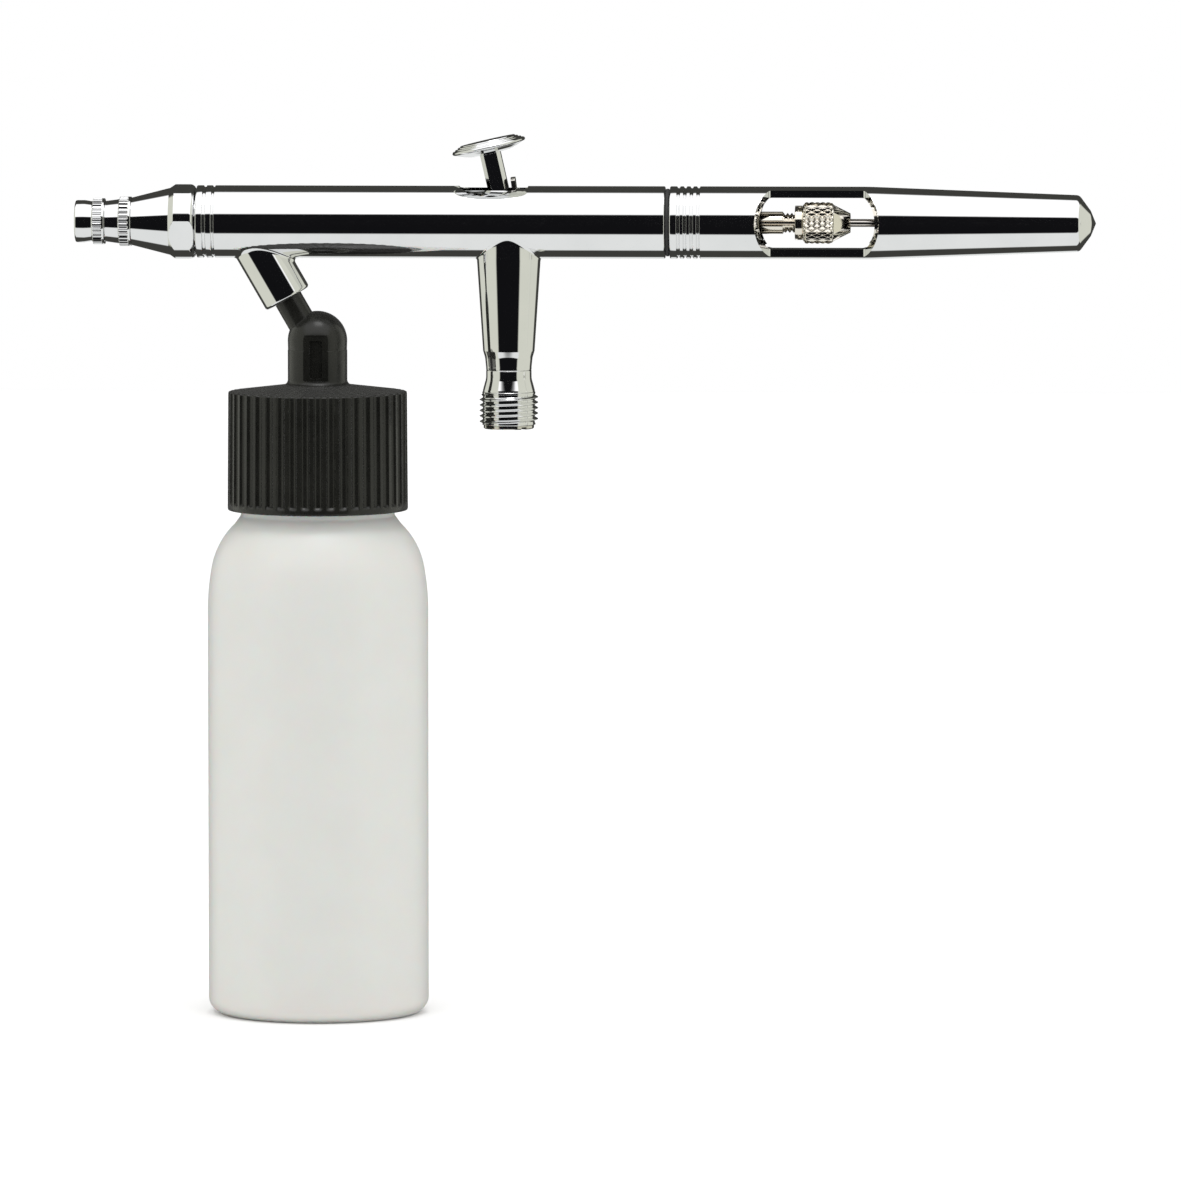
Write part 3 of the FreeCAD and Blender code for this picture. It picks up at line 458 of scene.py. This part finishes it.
def make_barrel():
    """Tube with two ring grooves in front, a rear spigot, a trigger slot and a relief beside it."""
    front, radius = BARREL_LOW.x, BARREL_R
    outline = [(front, 4.2), (front, radius, 0.2)]
    bottom, slope = radius - 0.25, 0.12
    for start, width in ((1.1, 0.6), (2.6, 0.5)):
        outline += [(front + start, radius), (front + start + slope, bottom),
                    (front + start + width - slope, bottom), (front + start + width, radius)]
    outline += [(REAR_X, radius, 0.2), (REAR_X, 5.0), (BARREL_HIGH.x, 5.0, 0.2), (BARREL_HIGH.x, 4.0),
                (4.4, 4.0), (4.4, 4.6), (-9.6, 4.6), (-9.6, 2.0), (-22, 2.0), (-22, 1.7), (-46, 1.7),
                (-46, 4.2)]
    piece = finished("gun_barrel", turned(rounded(outline, 0.06), around=256), "gun_body",
                     CHROME, ["barrel"])
    relief = tool(prism(bow(*RELIEF_X, RELIEF_RADIUS), 0, radius + 1))
    combine(relief, tool(turned(rectangle(-20, 20, 0, radius - 0.3), around=256)))
    combine(piece, relief)
    slot = rounded_rectangle(*SLOT_X, -SLOT_HALF_WIDTH, SLOT_HALF_WIDTH, SLOT_CORNER)
    combine(piece, tool(prism(slot, 0, radius + 1)))
    combine(piece, tool(turned(rectangle(-8, 0, 0, STEM_BORE), "Z", around=96)))
    shade(piece)
    flatten_normals(piece)


def make_braze(name, origin, lean, radius, size):
    """A concave fillet, size(angle) wide, where a tube meets the barrel's underside."""
    down = Vector((math.sin(lean), 0, -math.cos(lean)))
    along, across = Vector((math.cos(lean), 0, math.sin(lean))), Vector((0, 1, 0))

    def meeting(reach, angle):
        start = (along * math.cos(angle) + across * math.sin(angle)) * reach
        drop = (-math.sqrt(BARREL_R ** 2 - start.y ** 2) - start.z) / down.z
        return start + down * drop

    bm = bmesh.new()
    rings, steps, around = [], 8, 128
    for j in range(around):
        angle = 2 * math.pi * j / around
        width = size(angle)
        on_barrel, corner = meeting(radius + width, angle), meeting(radius, angle)
        on_tube = corner + down * width
        ring = []
        for k in range(steps + 1):
            t = k / steps
            ring.append(on_barrel * (1 - t) ** 2 + corner * (2 * t * (1 - t)) + on_tube * t ** 2)
        ring.append(meeting(radius - 0.3, angle) - down * 0.3)
        rings.append([bm.verts.new((p + Vector(origin)) * MM) for p in ring])
    for j in range(around):
        near, far = rings[j], rings[(j + 1) % around]
        for k in range(len(near)):
            m = (k + 1) % len(near)
            bm.faces.new((near[k], near[m], far[m], far[k]))
    bmesh.ops.recalc_face_normals(bm, faces=bm.faces)
    finished(name, bm, "gun_body", CHROME)


def trim_by_barrel(piece):
    """Take away what lies inside the barrel, apart from a thin overlap that hides the joint."""
    combine(piece, tool(turned(rectangle(-70, 40, 0, BARREL_R - 0.15), around=256)))


def make_air_stem():
    """Tapered tube with a waist just above its seam."""
    seam = STEM_SEAM
    outline = [(-3, STEM_BORE), (-3, STEM_R), (-6, STEM_R), (seam + 3.2, 4.28, 0.25),
               (seam + 2.1, 3.95, 2.5), (seam + 0.6, 3.79, 1.5), (seam, 3.77, 0.1), (seam, STEM_BORE)]
    points = divided(rounded(outline, 0.03), -30, 0, 1.0)
    piece = finished("stem_tube", turned(points, "Z"), "gun_body", CHROME, ["air_stem"])
    trim_by_barrel(piece)
    flatten_normals(piece)
    make_braze("stem_braze", BARREL_AXIS, 0.0, STEM_R, lambda angle: 0.35)


def make_paint_socket():
    """Short slanting tube; its fillet is wider on the side towards the handle."""
    outline = [(-3, 1.2), (-3, SOCKET_R), (-14.8, SOCKET_R, 0.55), (-14.8, 2.45, 0.3), (-8, 2.45),
               (-8, 1.2)]
    tube = turned(rounded(outline, 0.04), "Z", SOCKET_AXIS, SOCKET_LEAN)
    piece = finished("socket_tube", tube, "gun_body", CHROME, ["paint_socket"])
    trim_by_barrel(piece)
    flatten_normals(piece)
    make_braze("socket_braze", SOCKET_AXIS, SOCKET_LEAN, SOCKET_R,
               lambda angle: 0.35 + 0.75 * max(0.0, math.cos(angle)) ** 2)


# ---------------------------------------------------------------- nozzle end
HEAD_FLATS = ((5.63, 21.3), (5.92, 111.3))


def make_head():
    """Cone, shank and a round body with two pairs of flats: (distance from the axis, facing angle)."""
    rear, radius, flats_start = BARREL_LOW.x - 0.2, 6.18, -56.5
    outline = [(-66, 2.15), (-66, 2.9), (-62.8, 2.9), (-62.8, 3.95, 0.12), (-56.4, 5.58, 0.1),
               (-55.5, radius, 0.2), (rear, radius, 1.0), (rear, 4.15), (-46.5, 4.15), (-46.5, 1.5),
               (-59.5, 1.5), (-60, 2.15)]

    def flats(along, radius_here, angle):
        result = radius_here
        outside = (along > flats_start) & (along < rear + 0.05) & (radius_here > 4.9)
        for half, facing in HEAD_FLATS:
            towards = np.maximum(np.abs(np.cos(angle - math.radians(facing))), 0.2)
            result = np.where(outside, np.minimum(result, half / towards), result)
        return result

    points = divided(rounded(outline, 0.04), flats_start, rear + 0.1, 0.06)
    piece = finished("spray_head", turned(points, around=480, ripple=flats), "gun_body",
                     CHROME, ["head"])
    shade(piece, SHARP_ON_FLATS)
    flatten_normals(piece)


def make_nozzle_cap():
    """Stepped cap with a ring of teeth at its back."""
    outline = [(-69.9, 0.9), (-69.9, 2.6, 0.2), (-67.25, 2.6), (-67.25, 3.35, 0.1), (-64.85, 3.68, 0.1),
               (-64.8, 4.1, 0.12), (-62.83, 4.1, 0.12), (-62.83, 2.95), (-66, 2.95), (-67.3, 2.0)]
    points = divided(rounded(outline, 0.04), -64.85, -62.8, 0.08)
    ripple = straight_teeth(30, 0.3, -64.9, -63.25)
    piece = finished("toothed_nozzle_cap", turned(points, around=360, ripple=ripple), "nozzle_cap",
                     CHROME, ["nozzle_cap"])
    flatten_normals(piece)


def make_needle_cap():
    """Waisted cap with a ring of teeth at its back."""
    tip = box_mm("needle_cap")[0].x
    outline = [(tip, 2.2, 0.15), (tip, 3.5, 0.3), (-70.6, 3.5, 0.5), (-69.3, 3.3, 0.15),
               (-69.2, 3.82, 0.12), (-67.27, 3.82, 0.12), (-67.27, 2.65), (-70, 2.65), (-70.4, 2.3)]
    points = divided(rounded(outline, 0.04), -69.25, -67.2, 0.08)
    ripple = straight_teeth(32, 0.3, -69.3, -67.65)
    piece = finished("toothed_needle_cap", turned(points, around=384, ripple=ripple), "needle_cap",
                     CHROME, ["needle_cap"])
    flatten_normals(piece)


# ---------------------------------------------------------------- needle, guide and chuck nut
def make_needle():
    """Plain rod with a long taper to its point."""
    low, high = box_mm("needle")
    radius = (high.z - low.z) / 2
    outline = [(low.x, 0), (low.x, 0.03), (-58, radius), (high.x, radius, 0.2), (high.x, 0)]
    points = divided(rounded(outline, 0.02), -72, 70, 3.0)
    piece = finished("spray_needle", turned(points, around=64, closed=False), "needle_carriage",
                     NEEDLE_STEEL, ["needle"])
    flatten_normals(piece)


def make_guide():
    """Chucking guide: flange, tube, helical thread and four jaws."""
    low, high = box_mm("chucking_guide")
    front, shoulder, end = low.x, 45.6, high.x
    flange, tube, thread, bore = 3.8, 1.87, 1.66, 0.72
    outline = [(front, bore), (front, flange, 0.1), (front + 1.5, flange, 0.1), (front + 1.5, tube),
               (shoulder, tube, 0.1), (shoulder + 0.05, thread), (end - 0.6, thread), (end, 1.3),
               (end, bore)]
    points = divided(rounded(outline, 0.03), shoulder, end - 0.5, 0.05)
    ripple = screw_thread(0.7, 0.34, shoulder + 0.1, end - 0.4, thread, 0.15)
    piece = finished("needle_guide", turned(points, around=120, ripple=ripple), "needle_carriage",
                     WARM, ["chucking_guide"])
    reach, half_slit, slit_start = 3, 0.35, 40.2
    for half_width, half_height in ((reach, half_slit), (half_slit, reach)):
        slit = rectangle(-half_width, half_width, -half_height, half_height)
        combine(piece, tool(prism(slit, slit_start, end + 1, "YZ")))
    shade(piece)
    flatten_normals(piece)


def make_chuck_nut():
    """Nut with a diamond knurl between a smooth flange and a cone."""
    low, high = box_mm("chuck_nut")
    front, end, radius, flange = low.x, high.x, 3.45, 2.86
    knurl_low, knurl_high = front + 1.3, front + 6.45
    outline = [(front, 1.71), (front, flange, 0.12), (front + 1.2, flange, 0.1), (front + 1.28, 2.7, 0.05),
               (knurl_low, 2.9), (knurl_low + 0.4, radius, 0.4), (knurl_high - 0.4, radius, 0.4),
               (knurl_high, 2.98, 0.1), (end, 1.6, 0.1), (end, 0.75), (front + 4.7, 0.75),
               (front + 3.4, 1.71)]
    count, pitch, depth, flat_share = 23, 1.8, 0.32, 0.15

    def diamonds(along, radius, angle):
        turn = angle * count / (2 * math.pi)
        lines = np.maximum(vee(turn + along / pitch, flat_share), vee(turn - along / pitch, flat_share))
        near = np.clip((radius - 3.0) / 0.35, 0, 1)
        return radius - depth * lines * near * window(along, knurl_low, knurl_high, 0.25)

    points = divided(rounded(outline, 0.04), knurl_low, knurl_high, 0.05)
    piece = finished("knurled_chuck_nut", turned(points, around=count * 16, ripple=diamonds), "chuck_nut",
                     WARM, ["chuck_nut"])
    shade(piece, SHARP_ON_RIDGES)
    flatten_normals(piece)


# ---------------------------------------------------------------- handle
def make_handle():
    """Tapered handle with four ring grooves and a window cut through from side to side."""
    low, high = box_mm("handle")
    front, end, radius = low.x, high.x, BARREL_R
    outline = [(front, 5.05), (front, radius, 0.2)]
    bottom, edge = radius - 0.3, 0.06
    for ring in range(4):
        start = front + 1.15 + 1.1 * ring
        outline += [(start, radius, edge), (start + 0.2, bottom, edge), (start + 0.4, bottom, edge),
                    (start + 0.6, radius, edge)]
    outline += [(59.9, radius, 60.0), (end - 2.75, 4.7, 1.1), (end - 0.85, 2.1, 1.6), (end, 0, 0)]
    bore = [(72, 0, 0), (72, 1.2), (64, 1.2), (62.6, 4.95), (31.4, 4.95), (31.3, 5.05)]
    points = divided(rounded(outline + bore, 0.04), 36, end, 2.0)
    piece = finished("gun_handle", turned(points, around=256), "handle", CHROME,
                     ["handle"])
    slant, beyond, corner = 2.5, 0.71, 0.8
    left, right = 40.95, 61.64
    for side in (1, -1):
        inner, surface, outer = 2.5 * side, radius * side, (radius + 1) * side
        plan = [(left - beyond, outer, 0), (left, surface, 0), (left + slant, inner, corner),
                (right - slant, inner, corner), (right, surface, 0), (right + beyond, outer, 0)]
        combine(piece, tool(prism(rounded(plan, steps=10), -8, 8)))
    shade(piece)
    flatten_normals(piece)


# ---------------------------------------------------------------- air inlet
def make_valve_body():
    """Waisted neck over the hose thread, which is a piece of its own."""
    seam, bottom = STEM_SEAM, -AXIS_Z
    thread_top = seam - 3.95
    pitch, sleeve_bore, root, crest = 0.907, 4.2, 4.33, 4.864
    outline = [(seam + 4.5, 1.0), (seam + 4.5, 2.9, 0.2), (seam, 2.9), (seam, 3.77, 0.1),
               (seam - 1.4, 3.78, 2.5), (seam - 3.3, 4.3, 0.5), (seam - 3.62, root, 0.1),
               (seam - 3.66, 4.42, 0.05), (thread_top, 4.42, 0.05), (thread_top, 4.25),
               (bottom + 0.1, 4.25), (bottom + 0.1, 4.5, 0.1), (bottom, 4.4, 0.1), (bottom, 2.65),
               (bottom + 1.15, 2.65), (bottom + 1.15, 2.1), (seam - 2.75, 2.1), (seam - 2.75, 1.0)]
    points = divided(rounded(outline, 0.04), bottom, seam - 4.5, 0.5)
    piece = finished("inlet_fitting", turned(points, "Z"), "gun_body", CHROME,
                     ["valve_body"])
    sleeve = helical_sleeve(bottom + 0.1, thread_top, pitch, sleeve_bore, root, crest, BARREL_AXIS)
    threads = finished("inlet_thread", sleeve, "gun_body", CHROME)
    shade(threads, SHARP_ON_RIDGES)
    flatten_normals(piece)


# ---------------------------------------------------------------- trigger
TRIGGER_PIVOT = (0.35, 0.0, AXIS_Z - 3.4)
TRIGGER_LEAN = math.radians(12.9)
PIN_RADIUS = 0.5


def leaned_prism(points, low, high, plane, pivot, lean):
    """A prism about the pivot, turned about the pivot's Y axis so that its top goes towards -X."""
    bm = prism(points, low, high, plane, pivot)
    matrix = Matrix.Rotation(-lean, 3, "Y")
    bmesh.ops.rotate(bm, cent=Vector(pivot) * MM, matrix=matrix, verts=bm.verts)
    return bm


def make_trigger():
    """Stepped finger button on a bevelled stem with a round foot and a slot for the needle."""
    def bar(points, low, high, plane="XY"):
        return leaned_prism(points, low, high, plane, TRIGGER_PIVOT, TRIGGER_LEAN)

    button = [(15.05, 0), (15.2, 1.6, 1.5), (15.3, 3.2, 2.0), (15.6, 4.4, 2.0), (15.98, 5.4, 1.0),
              (16.17, 6.03, 0.3), (16.45, 6.25, 0.25), (16.75, 6.0, 0.15), (16.8, 5.65, 0.1), (16.97, 5.6),
              (17.02, 5.15, 0.1), (17.22, 5.1), (17.27, 4.7, 0.1), (17.45, 4.6, 0.1), (17.45, 0)]
    points = rounded(button, 0.05)[1:]
    piece = finished("finger_trigger", turned(points, "Z", TRIGGER_PIVOT, TRIGGER_LEAN, closed=False),
                     "trigger", CHROME, ["trigger"])
    # the stem's two bars, each with half width, half depth, bevel, bottom and top
    for half, thick, bevel, low, high in ((1.5, 1.6, 0.48, 1.3, 9.3), (1.7, 1.72, 0.6, 9.0, 15.3)):
        short, shallow = half - bevel, thick - bevel
        section = [(-half, -shallow), (-short, -thick), (short, -thick), (half, -shallow),
                   (half, shallow), (short, thick), (-short, thick), (-half, shallow)]
        combine(piece, tool(bar(section, low, high)), "UNION")
    foot_radius, foot_top = 1.3, 1.6
    foot = [(foot_radius * math.cos(a), foot_radius * math.sin(a))
            for a in np.linspace(math.pi, 2 * math.pi, 24)]
    foot += [(foot_radius, foot_top), (-foot_radius, foot_top)]
    combine(piece, tool(bar(foot, -1, 1, "XZ")), "UNION")
    combine(piece, tool(bar(rectangle(-0.8, 0.8, 2.1, 6.7), -4, 4, "YZ")))
    combine(piece, tool(bar(circle(PIN_RADIUS), -4, 4, "XZ")))
    soften(piece, 0.12)
    flatten_normals(piece)


def make_aux_lever():
    """Forked plate with a rounded tip and a lug at its back."""
    pivot, lean = Vector((2.0, 0.0, AXIS_Z - 2.4)), math.radians(7.5)

    def plate(points, low, high, plane="YZ"):
        return leaned_prism(points, low, high, plane, pivot, lean)

    tip = rounded([(-1.75, 4.9, 0), (1.75, 4.9, 0), (1.75, 9.98, 0.7), (-1.75, 9.98, 0.7)], steps=6)
    piece = finished("needle_lever", plate(tip, -0.35, 0.35), "aux_lever", NICKEL,
                     ["aux_lever"])
    for side in (-1, 1):
        leg = rectangle(2.62 * side, 3.38 * side, 0, 5.28)
        combine(piece, tool(plate(leg, -0.34, 0.34)), "UNION")
        combine(piece, tool(plate(circle(PIN_RADIUS), 2.6 * side, 3.4 * side, "XZ")), "UNION")
    combine(piece, tool(plate(rectangle(-3.37, 3.37, 4.82, 5.3), -0.33, 0.33)), "UNION")
    combine(piece, tool(plate(rectangle(0, 1.2, 5.4, 6.3), -1.5, 1.5, "XZ")), "UNION")
    soften(piece, 0.15)
    flatten_normals(piece)


# ---------------------------------------------------------------- bottle cap
def make_bottle_cap():
    """Ribbed cap with a slanting spigot and a domed pillar that has a stepped panel sunk in its front."""
    low, high = box_mm("bottle_cap")
    bottom, skirt_height, radius = low.z - AXIS_Z, 19.65, (high.y - low.y) / 2 - 0.03
    top, pillar, dome = bottom + skirt_height, 4.95, -19.8
    arc = [(dome + pillar * math.sin(a), pillar * math.cos(a)) for a in np.linspace(0, math.pi / 2, 20)]
    outline = [(bottom, 13.85), (bottom, radius - 0.05, 0.15), (bottom + 0.35, radius + 0.03, 0.1),
               (top + 0.05, radius - 0.1, 0.5), (top + 0.1, radius - 0.6, 0.4), (top + 1.27, pillar, 0.9)]
    meet = -21.3
    inside = [(meet, 1.2), (top, 1.2), (top, 1.55), (top - 4.8, 1.55), (top - 4.8, 3.0), (top - 1.8, 3.0),
              (top - 1.8, 13.85)]
    points = rounded(outline + [(meet, pillar)] + inside, 0.1)
    # the dome's arc goes in where the outline reaches the pillar's top
    split = max(range(len(points)), key=lambda i: points[i][0] if points[i][1] > 3 else -99)
    points = points[:split] + [np.array(p) for p in arc] + [np.array((meet, 0.0))] + points[split + 1:]
    points = divided(points, bottom, top, 0.25)
    ribs, groove_half_share, groove_depth = 44, 0.32, 0.5

    def scallops(along, radius_here, angle):
        # each groove is a shallow round channel, with a flat ridge left between it and the next
        turn = (fraction(angle * ribs / (2 * math.pi)) - 0.5) / groove_half_share
        groove = np.sqrt(np.clip(1 - turn ** 2, 0, 1))
        skirt = np.clip((radius_here - (radius - 1.0)) / 0.3, 0, 1) * (along < top + 0.3)
        return radius_here - groove_depth * groove * skirt * window(along, bottom + 1.0, top + 1.0, 0.4)

    piece = finished("ribbed_cap", turned(points, "Z", PILLAR_AXIS, around=ribs * 20, ripple=scallops),
                     "bottle_cap", BLACK, ["bottle_cap"])
    spigot = [(-25.2, 0), (-25.2, 2.4), (-9, 2.4, 0.2), (-9, 1.2), (-12, 1.2), (-12, 0)]
    combine(piece, tool(turned(rounded(spigot, 0.05), "Z", SOCKET_AXIS, SOCKET_LEAN, 96)), "UNION")
    for half, low, high, depth in ((2.1, -26.3, -18.7, 0.45), (1.05, -25.9, -19.6, 0.95)):
        panel = rounded_rectangle(-half, half, low, high, 0.3)
        combine(piece, tool(prism(panel, -(pillar - depth), -pillar - 2, "XZ", PILLAR_AXIS)))
    soften(piece, 0.12)
    flatten_normals(piece)


# ---------------------------------------------------------------- bottle
def make_bottle():
    """Hollow bottle: threaded neck, shoulder of two tangent arcs, straight wall and rounded foot."""
    low, high = box_mm("bottle")
    base, top = low.z - AXIS_Z, high.z - AXIS_Z
    radius, neck, thread, wall = (high.y - low.y) / 2, 12.8, 13.75, 1.2
    inner = radius - wall
    outline = [(top, neck - wall), (-49.8, neck - wall, 1.0), (-53.4, 15.2, 9.0), (-61, inner, 14.0),
               (base + 2.2, inner, 3.4), (base + 2.2, 0, 0), (base + 1.1, 0, 0), (base + 1.1, 11.2, 1.0),
               (base, 12.6, 0.8), (base, radius, 4.0)]
    # each arc: height and radius of its centre, its own radius, first and last angle in degrees
    for height, centre, reach, first, last in ((-65.0, radius - 42.0, 42.0, 0.0, 10.2),
                                               (-59.82, radius - 13.47, 13.0, 10.4, 46.4)):
        outline += [(height + reach * math.sin(a), centre + reach * math.cos(a), 0)
                    for a in np.radians(np.linspace(first, last, 16))]
    outline.append((-48.9, neck, 0.8))
    for turn in range(3):
        start = -44.2 + 4.2 * turn
        outline += [(start, neck), (start + 0.4, thread), (start + 1.0, thread), (start + 1.4, neck)]
    outline.append((top, neck, 0.3))
    points = divided(rounded(outline, 0.15, 5), base, -45, 2.0)
    piece = finished("paint_bottle", turned(points, "Z", PILLAR_AXIS), "bottle", BOTTLE,
                     ["bottle"])
    shade(piece, SHARP_ON_PLASTIC)


# The outer parts get pieces of their own; the inner parts keep their CAD meshes.
for build in (make_barrel, make_air_stem, make_paint_socket, make_head, make_nozzle_cap, make_needle_cap,
              make_needle, make_guide, make_chuck_nut, make_handle, make_valve_body, make_trigger,
              make_aux_lever, make_bottle_cap, make_bottle):
    build()


# ---------------------------------------------------------------- stage, light and camera
def make_floor():
    """A pale floor under the bottle, which chrome doesn't reflect."""
    height, reach, thick = box_mm("bottle")[0].z - 0.05, 1500, 5
    bm = prism(rectangle(-reach, reach, -reach, reach), -thick, 0, origin=(0, 0, height))
    floor = finished("floor", bm)
    recipe = Recipe("pale_floor", Roughness=0.8, Specular_IOR_Level=0.1)
    recipe.tone(recipe.noise(6, 3), (0.95, 0.95, 0.95), (0.97, 0.97, 0.97))
    floor.data.materials.append(recipe.material)
    floor.visible_glossy = False


def make_world():
    """Studio surround, as gloss sees it: light overhead and below, dark in front and behind, cream at the
    sides. Matt surfaces see a plain soft gradient, and the camera sees white.
    """
    world = bpy.data.worlds.new("studio")
    bpy.context.scene.world = world
    world.use_nodes = True
    tree = world.node_tree
    tree.nodes.clear()

    def math_node(operation, a, b=None):
        node = tree.nodes.new("ShaderNodeMath")
        node.operation = operation
        for index, value in enumerate((a, b)):
            if value is None:
                continue
            if isinstance(value, (int, float)):
                node.inputs[index].default_value = value
            else:
                tree.links.new(value, node.inputs[index])
        return node.outputs[0]

    def mix(factor, a, b):
        node = tree.nodes.new("ShaderNodeMix")
        node.data_type = "RGBA"
        tree.links.new(factor, node.inputs["Factor"])
        for socket, value in (("A", a), ("B", b)):
            target = [i for i in node.inputs if i.name == socket and i.type == "RGBA"][0]
            if isinstance(value, tuple):
                target.default_value = (*value, 1.0)
            else:
                tree.links.new(value, target)
        return [o for o in node.outputs if o.type == "RGBA"][0]

    coords = tree.nodes.new("ShaderNodeTexCoord").outputs["Generated"]
    split = tree.nodes.new("ShaderNodeSeparateXYZ")
    tree.links.new(coords, split.inputs[0])
    east, north, up = split.outputs
    toward = math_node("MULTIPLY", north, -1.0)
    # pitch: 0 towards the viewer, a quarter turn overhead, half a turn behind, minus below
    pitch = math_node("DIVIDE", math_node("ARCTAN2", up, toward), 2 * math.pi)
    pitch = math_node("ADD", pitch, 0.5)

    def at(degrees):
        return degrees / 360 + 0.5

    def grey(level):
        return (level, level, level)

    black, dark, white = (0.006, 0.006, 0.007), (0.05, 0.05, 0.045), grey(1.25)
    light, cream = (0.83, 0.845, 0.835), (0.70, 0.71, 0.62)
    bands = color_ramp(tree, pitch, [
        (at(-180), dark), (at(-140), dark), (at(-100), dark), (at(-96), light),
        (at(-37), light), (at(-34), black), (at(26), black), (at(28.5), white), (at(108), white),
        (at(114), dark), (at(180), dark),
    ])
    # straight behind, a light strip lies low down
    low_strip = color_ramp(tree, pitch, [(at(-173), grey(0)), (at(-170), grey(1)), (at(-146), grey(1)),
                                         (at(-140), grey(0))])
    # share of the sideways direction: the ends of the room are cream
    side = math_node("ABSOLUTE", east)
    middle_only = color_ramp(tree, side, [(0.0, grey(1)), (0.08, grey(1)), (0.14, grey(0))])
    bands = mix(math_node("MULTIPLY", low_strip, middle_only), bands, light)
    sides = color_ramp(tree, side, [(0.0, grey(0)), (0.66, grey(0)), (0.72, grey(1)), (0.985, grey(1)),
                                    (1.0, grey(0.6))])
    seen = mix(sides, bands, cream)
    path = tree.nodes.new("ShaderNodeLightPath")
    height = math_node("ADD", math_node("MULTIPLY", up, 0.5), 0.5)
    soft = color_ramp(tree, height, [(0.0, grey(0.45)), (0.5, grey(0.8)), (1.0, grey(1.3))])
    glossy = mix(path.outputs["Is Glossy Ray"], soft, seen)
    final = mix(path.outputs["Is Camera Ray"], glossy, grey(1.0))
    background = tree.nodes.new("ShaderNodeBackground")
    tree.links.new(final, background.inputs["Color"])
    output = tree.nodes.new("ShaderNodeOutputWorld")
    tree.links.new(background.outputs[0], output.inputs["Surface"])


def make_overhead_light():
    """A soft panel, half a metre wide, high up and a little in front."""
    data = bpy.data.lights.new("panel", "AREA")
    data.shape, data.size, data.energy = "SQUARE", 0.5, 2.5
    panel = bpy.data.objects.new("panel", data)
    pitch, distance = math.radians(76), 1.2
    towards = Vector((0.05, -math.cos(pitch), math.sin(pitch)))
    panel.location = Vector(BARREL_AXIS) * MM + towards * distance
    panel.rotation_euler = towards.to_track_quat("Z", "Y").to_euler()
    bpy.context.collection.objects.link(panel)


def make_camera():
    """A long lens a little above the barrel and a little to the handle's side."""
    azimuth, elevation = math.radians(2.6), math.radians(5.0)
    distance, width_seen, sensor = 1810.0, 196.8, 36
    target = Vector((13.6, 0, AXIS_Z - 61.4)) * MM
    back = Vector((math.sin(azimuth) * math.cos(elevation), -math.cos(azimuth) * math.cos(elevation),
                   math.sin(elevation)))
    data = bpy.data.cameras.new("view")
    data.sensor_width = sensor
    data.lens = sensor * distance / width_seen
    data.clip_start, data.clip_end = 0.05, 20
    camera = bpy.data.objects.new("view", data)
    camera.location = target + back * distance * MM
    camera.rotation_euler = back.to_track_quat("Z", "Y").to_euler()
    bpy.context.collection.objects.link(camera)
    bpy.context.scene.camera = camera


make_floor()
make_world()
make_overhead_light()
make_camera()
bpy.context.scene.view_settings.view_transform = "Standard"
